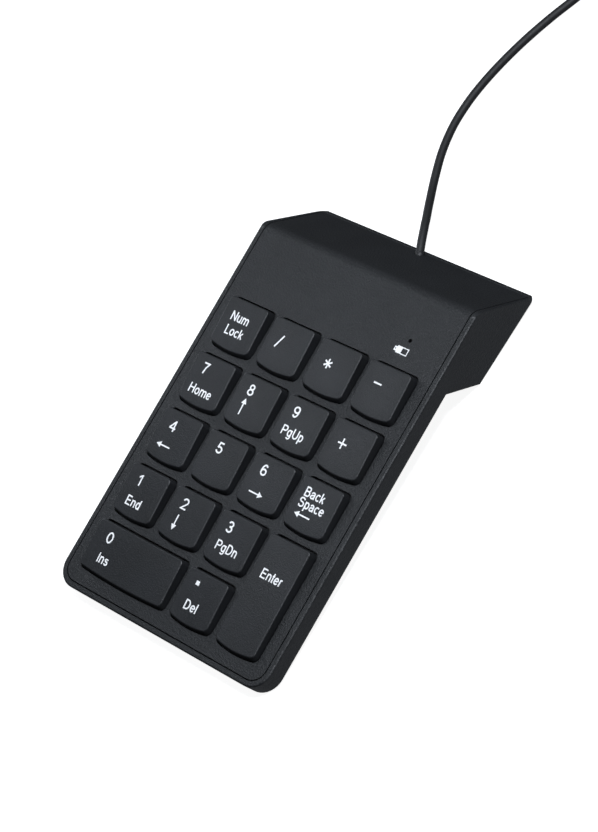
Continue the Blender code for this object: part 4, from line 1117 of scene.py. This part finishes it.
# ================ studio
def make_stage():
    """White table for the camera only. The world's bounce stands for the light that it throws back."""
    bm = bmesh.new()
    bmesh.ops.create_grid(bm, x_segments=1, y_segments=1, size=6.0)
    mesh = bpy.data.meshes.new("table_top")
    bm.to_mesh(mesh)
    bm.free()
    made, tree, shader = new_material("white_table", Roughness=0.9, Emission_Strength=0.92)
    shader.inputs["Base Color"].default_value = sheet_colour("a8a8a8")
    shader.inputs["Emission Color"].default_value = sheet_colour("ffffff")
    mesh.materials.append(made)
    table = bpy.data.objects.new("table_top", mesh)
    table.visible_glossy = False
    table.visible_diffuse = False
    bpy.context.scene.collection.objects.link(table)


def make_world():
    """Soft glow from above on the left, the table's pale bounce from below on the right, dark elsewhere."""
    world = bpy.data.worlds.new("studio")
    bpy.context.scene.world = world
    world.use_nodes = True
    tree = world.node_tree
    direction = add_node(tree, "ShaderNodeTexCoord").outputs["Generated"]
    levels = []
    for way, low, high in ((GLOW_WAY, *GLOW_LEVELS), (BOUNCE_WAY, *BOUNCE_LEVELS)):
        facing = add_node(tree, "ShaderNodeVectorMath", {0: direction, 1: way}, operation="DOT_PRODUCT")
        share = facing.outputs["Value"]
        spread = {"Value": share, "From Min": 0.0, "From Max": 0.95, "To Min": low, "To Max": high}
        level = add_node(tree, "ShaderNodeMapRange", spread, interpolation_type="SMOOTHSTEP")
        levels.append(level.outputs["Result"])
    total = add_node(tree, "ShaderNodeMath", {0: levels[0], 1: levels[1]}, operation="ADD")
    background = tree.nodes["Background"]
    background.inputs["Color"].default_value = LIGHT_TINT
    tree.links.new(total.outputs[0], background.inputs["Strength"])


def add_softbox(name, position, size, power):
    """A rectangular lamp that faces the middle of the keypad."""
    light = bpy.data.lights.new(name, "AREA")
    light.shape = "RECTANGLE"
    light.size, light.size_y = size
    light.energy = power
    light.color = LIGHT_TINT[:3]
    obj = bpy.data.objects.new(name, light)
    position = Vector(position)
    aim = (Vector((0.0, 0.0, 0.01)) - position).to_track_quat("-Z", "Y")
    obj.matrix_world = Matrix.Translation(position) @ aim.to_matrix().to_4x4()
    bpy.context.scene.collection.objects.link(obj)


def make_lights():
    """A weak lamp close above, a strong one high on the right, and a low one that catches left edges."""
    add_softbox("left_softbox", (-0.09, -0.01, 0.18), (0.09, 0.09), 0.060)
    add_softbox("overhead_softbox", (0.29, 0.15, 0.74), (0.16, 0.16), 6.0)
    add_softbox("edge_softbox", (-0.45, 0.09, 0.04), (0.14, 0.05), 0.32)


# ================ build
def build():
    make_camera()
    bpy.context.scene.view_settings.view_transform = "Standard"

    jacket = pvc_jacket()
    overmould = overmould_pvc()
    plated = metal("nickel_plated_steel", "a9a9a6", "c4c4c0", 0.16, 0.26, (300.0, 4000.0, 4000.0))
    gilt = metal("gold_flashed_contact", "b58a3c", "cfa654", 0.15, 0.25, (4000.0, 300.0, 4000.0))
    cord = make_cord(jacket)
    strap = make_strap(loop_tape())
    grip = make_plug_grip(overmould)
    sleeve = make_plug_shell(plated)
    tongue, contacts = make_plug_tongue(overmould, gilt)
    make_strain_relief(overmould)

    case_abs = textured_abs()
    refined("bottom_case", "base_shell", case_abs, 0.00012)
    refined("top_cover", "cover_shell", case_abs, 0.00012)
    key_abs = keycap_abs()
    ink = legend_ink()
    silicone = silicone_rubber()
    for key in KEYS:
        make_keycap(key, key_abs)
        make_legend(key, ink)
        make_dome(key, silicone)
    make_battery_mark(ink)

    zinc = metal("zinc_plated_steel", "8f9297", "a9adb2", 0.25, 0.38, (2500.0, 2500.0, 300.0))
    rolled = metal("rolled_steel_plate", "9a9c9e", "b2b4b6", 0.28, 0.42, (200.0, 3000.0, 3000.0))
    film = clear_film()
    rubber = foot_rubber()
    finishes = {
        **{f"{part}_screw_{side}": zinc for part in ("slab", "block") for side in ("left", "right")},
        "backing_plate": rolled,
        "membrane_top": film,
        "membrane_bottom": film,
        "controller_board": solder_mask(),
        "controller_chip": chip_epoxy(),
        "light_pipe": smoked_acrylic(),
    }
    for node, material in finishes.items():
        for slot in frame["nodes"][node].material_slots:
            slot.material = material
    for end in ("front", "rear"):
        for side in ("left", "right"):
            refined(f"{end}_foot_{side}", f"{end}_pad_{side}", rubber, 0.00025)
    make_stage()
    make_world()
    make_lights()


build()
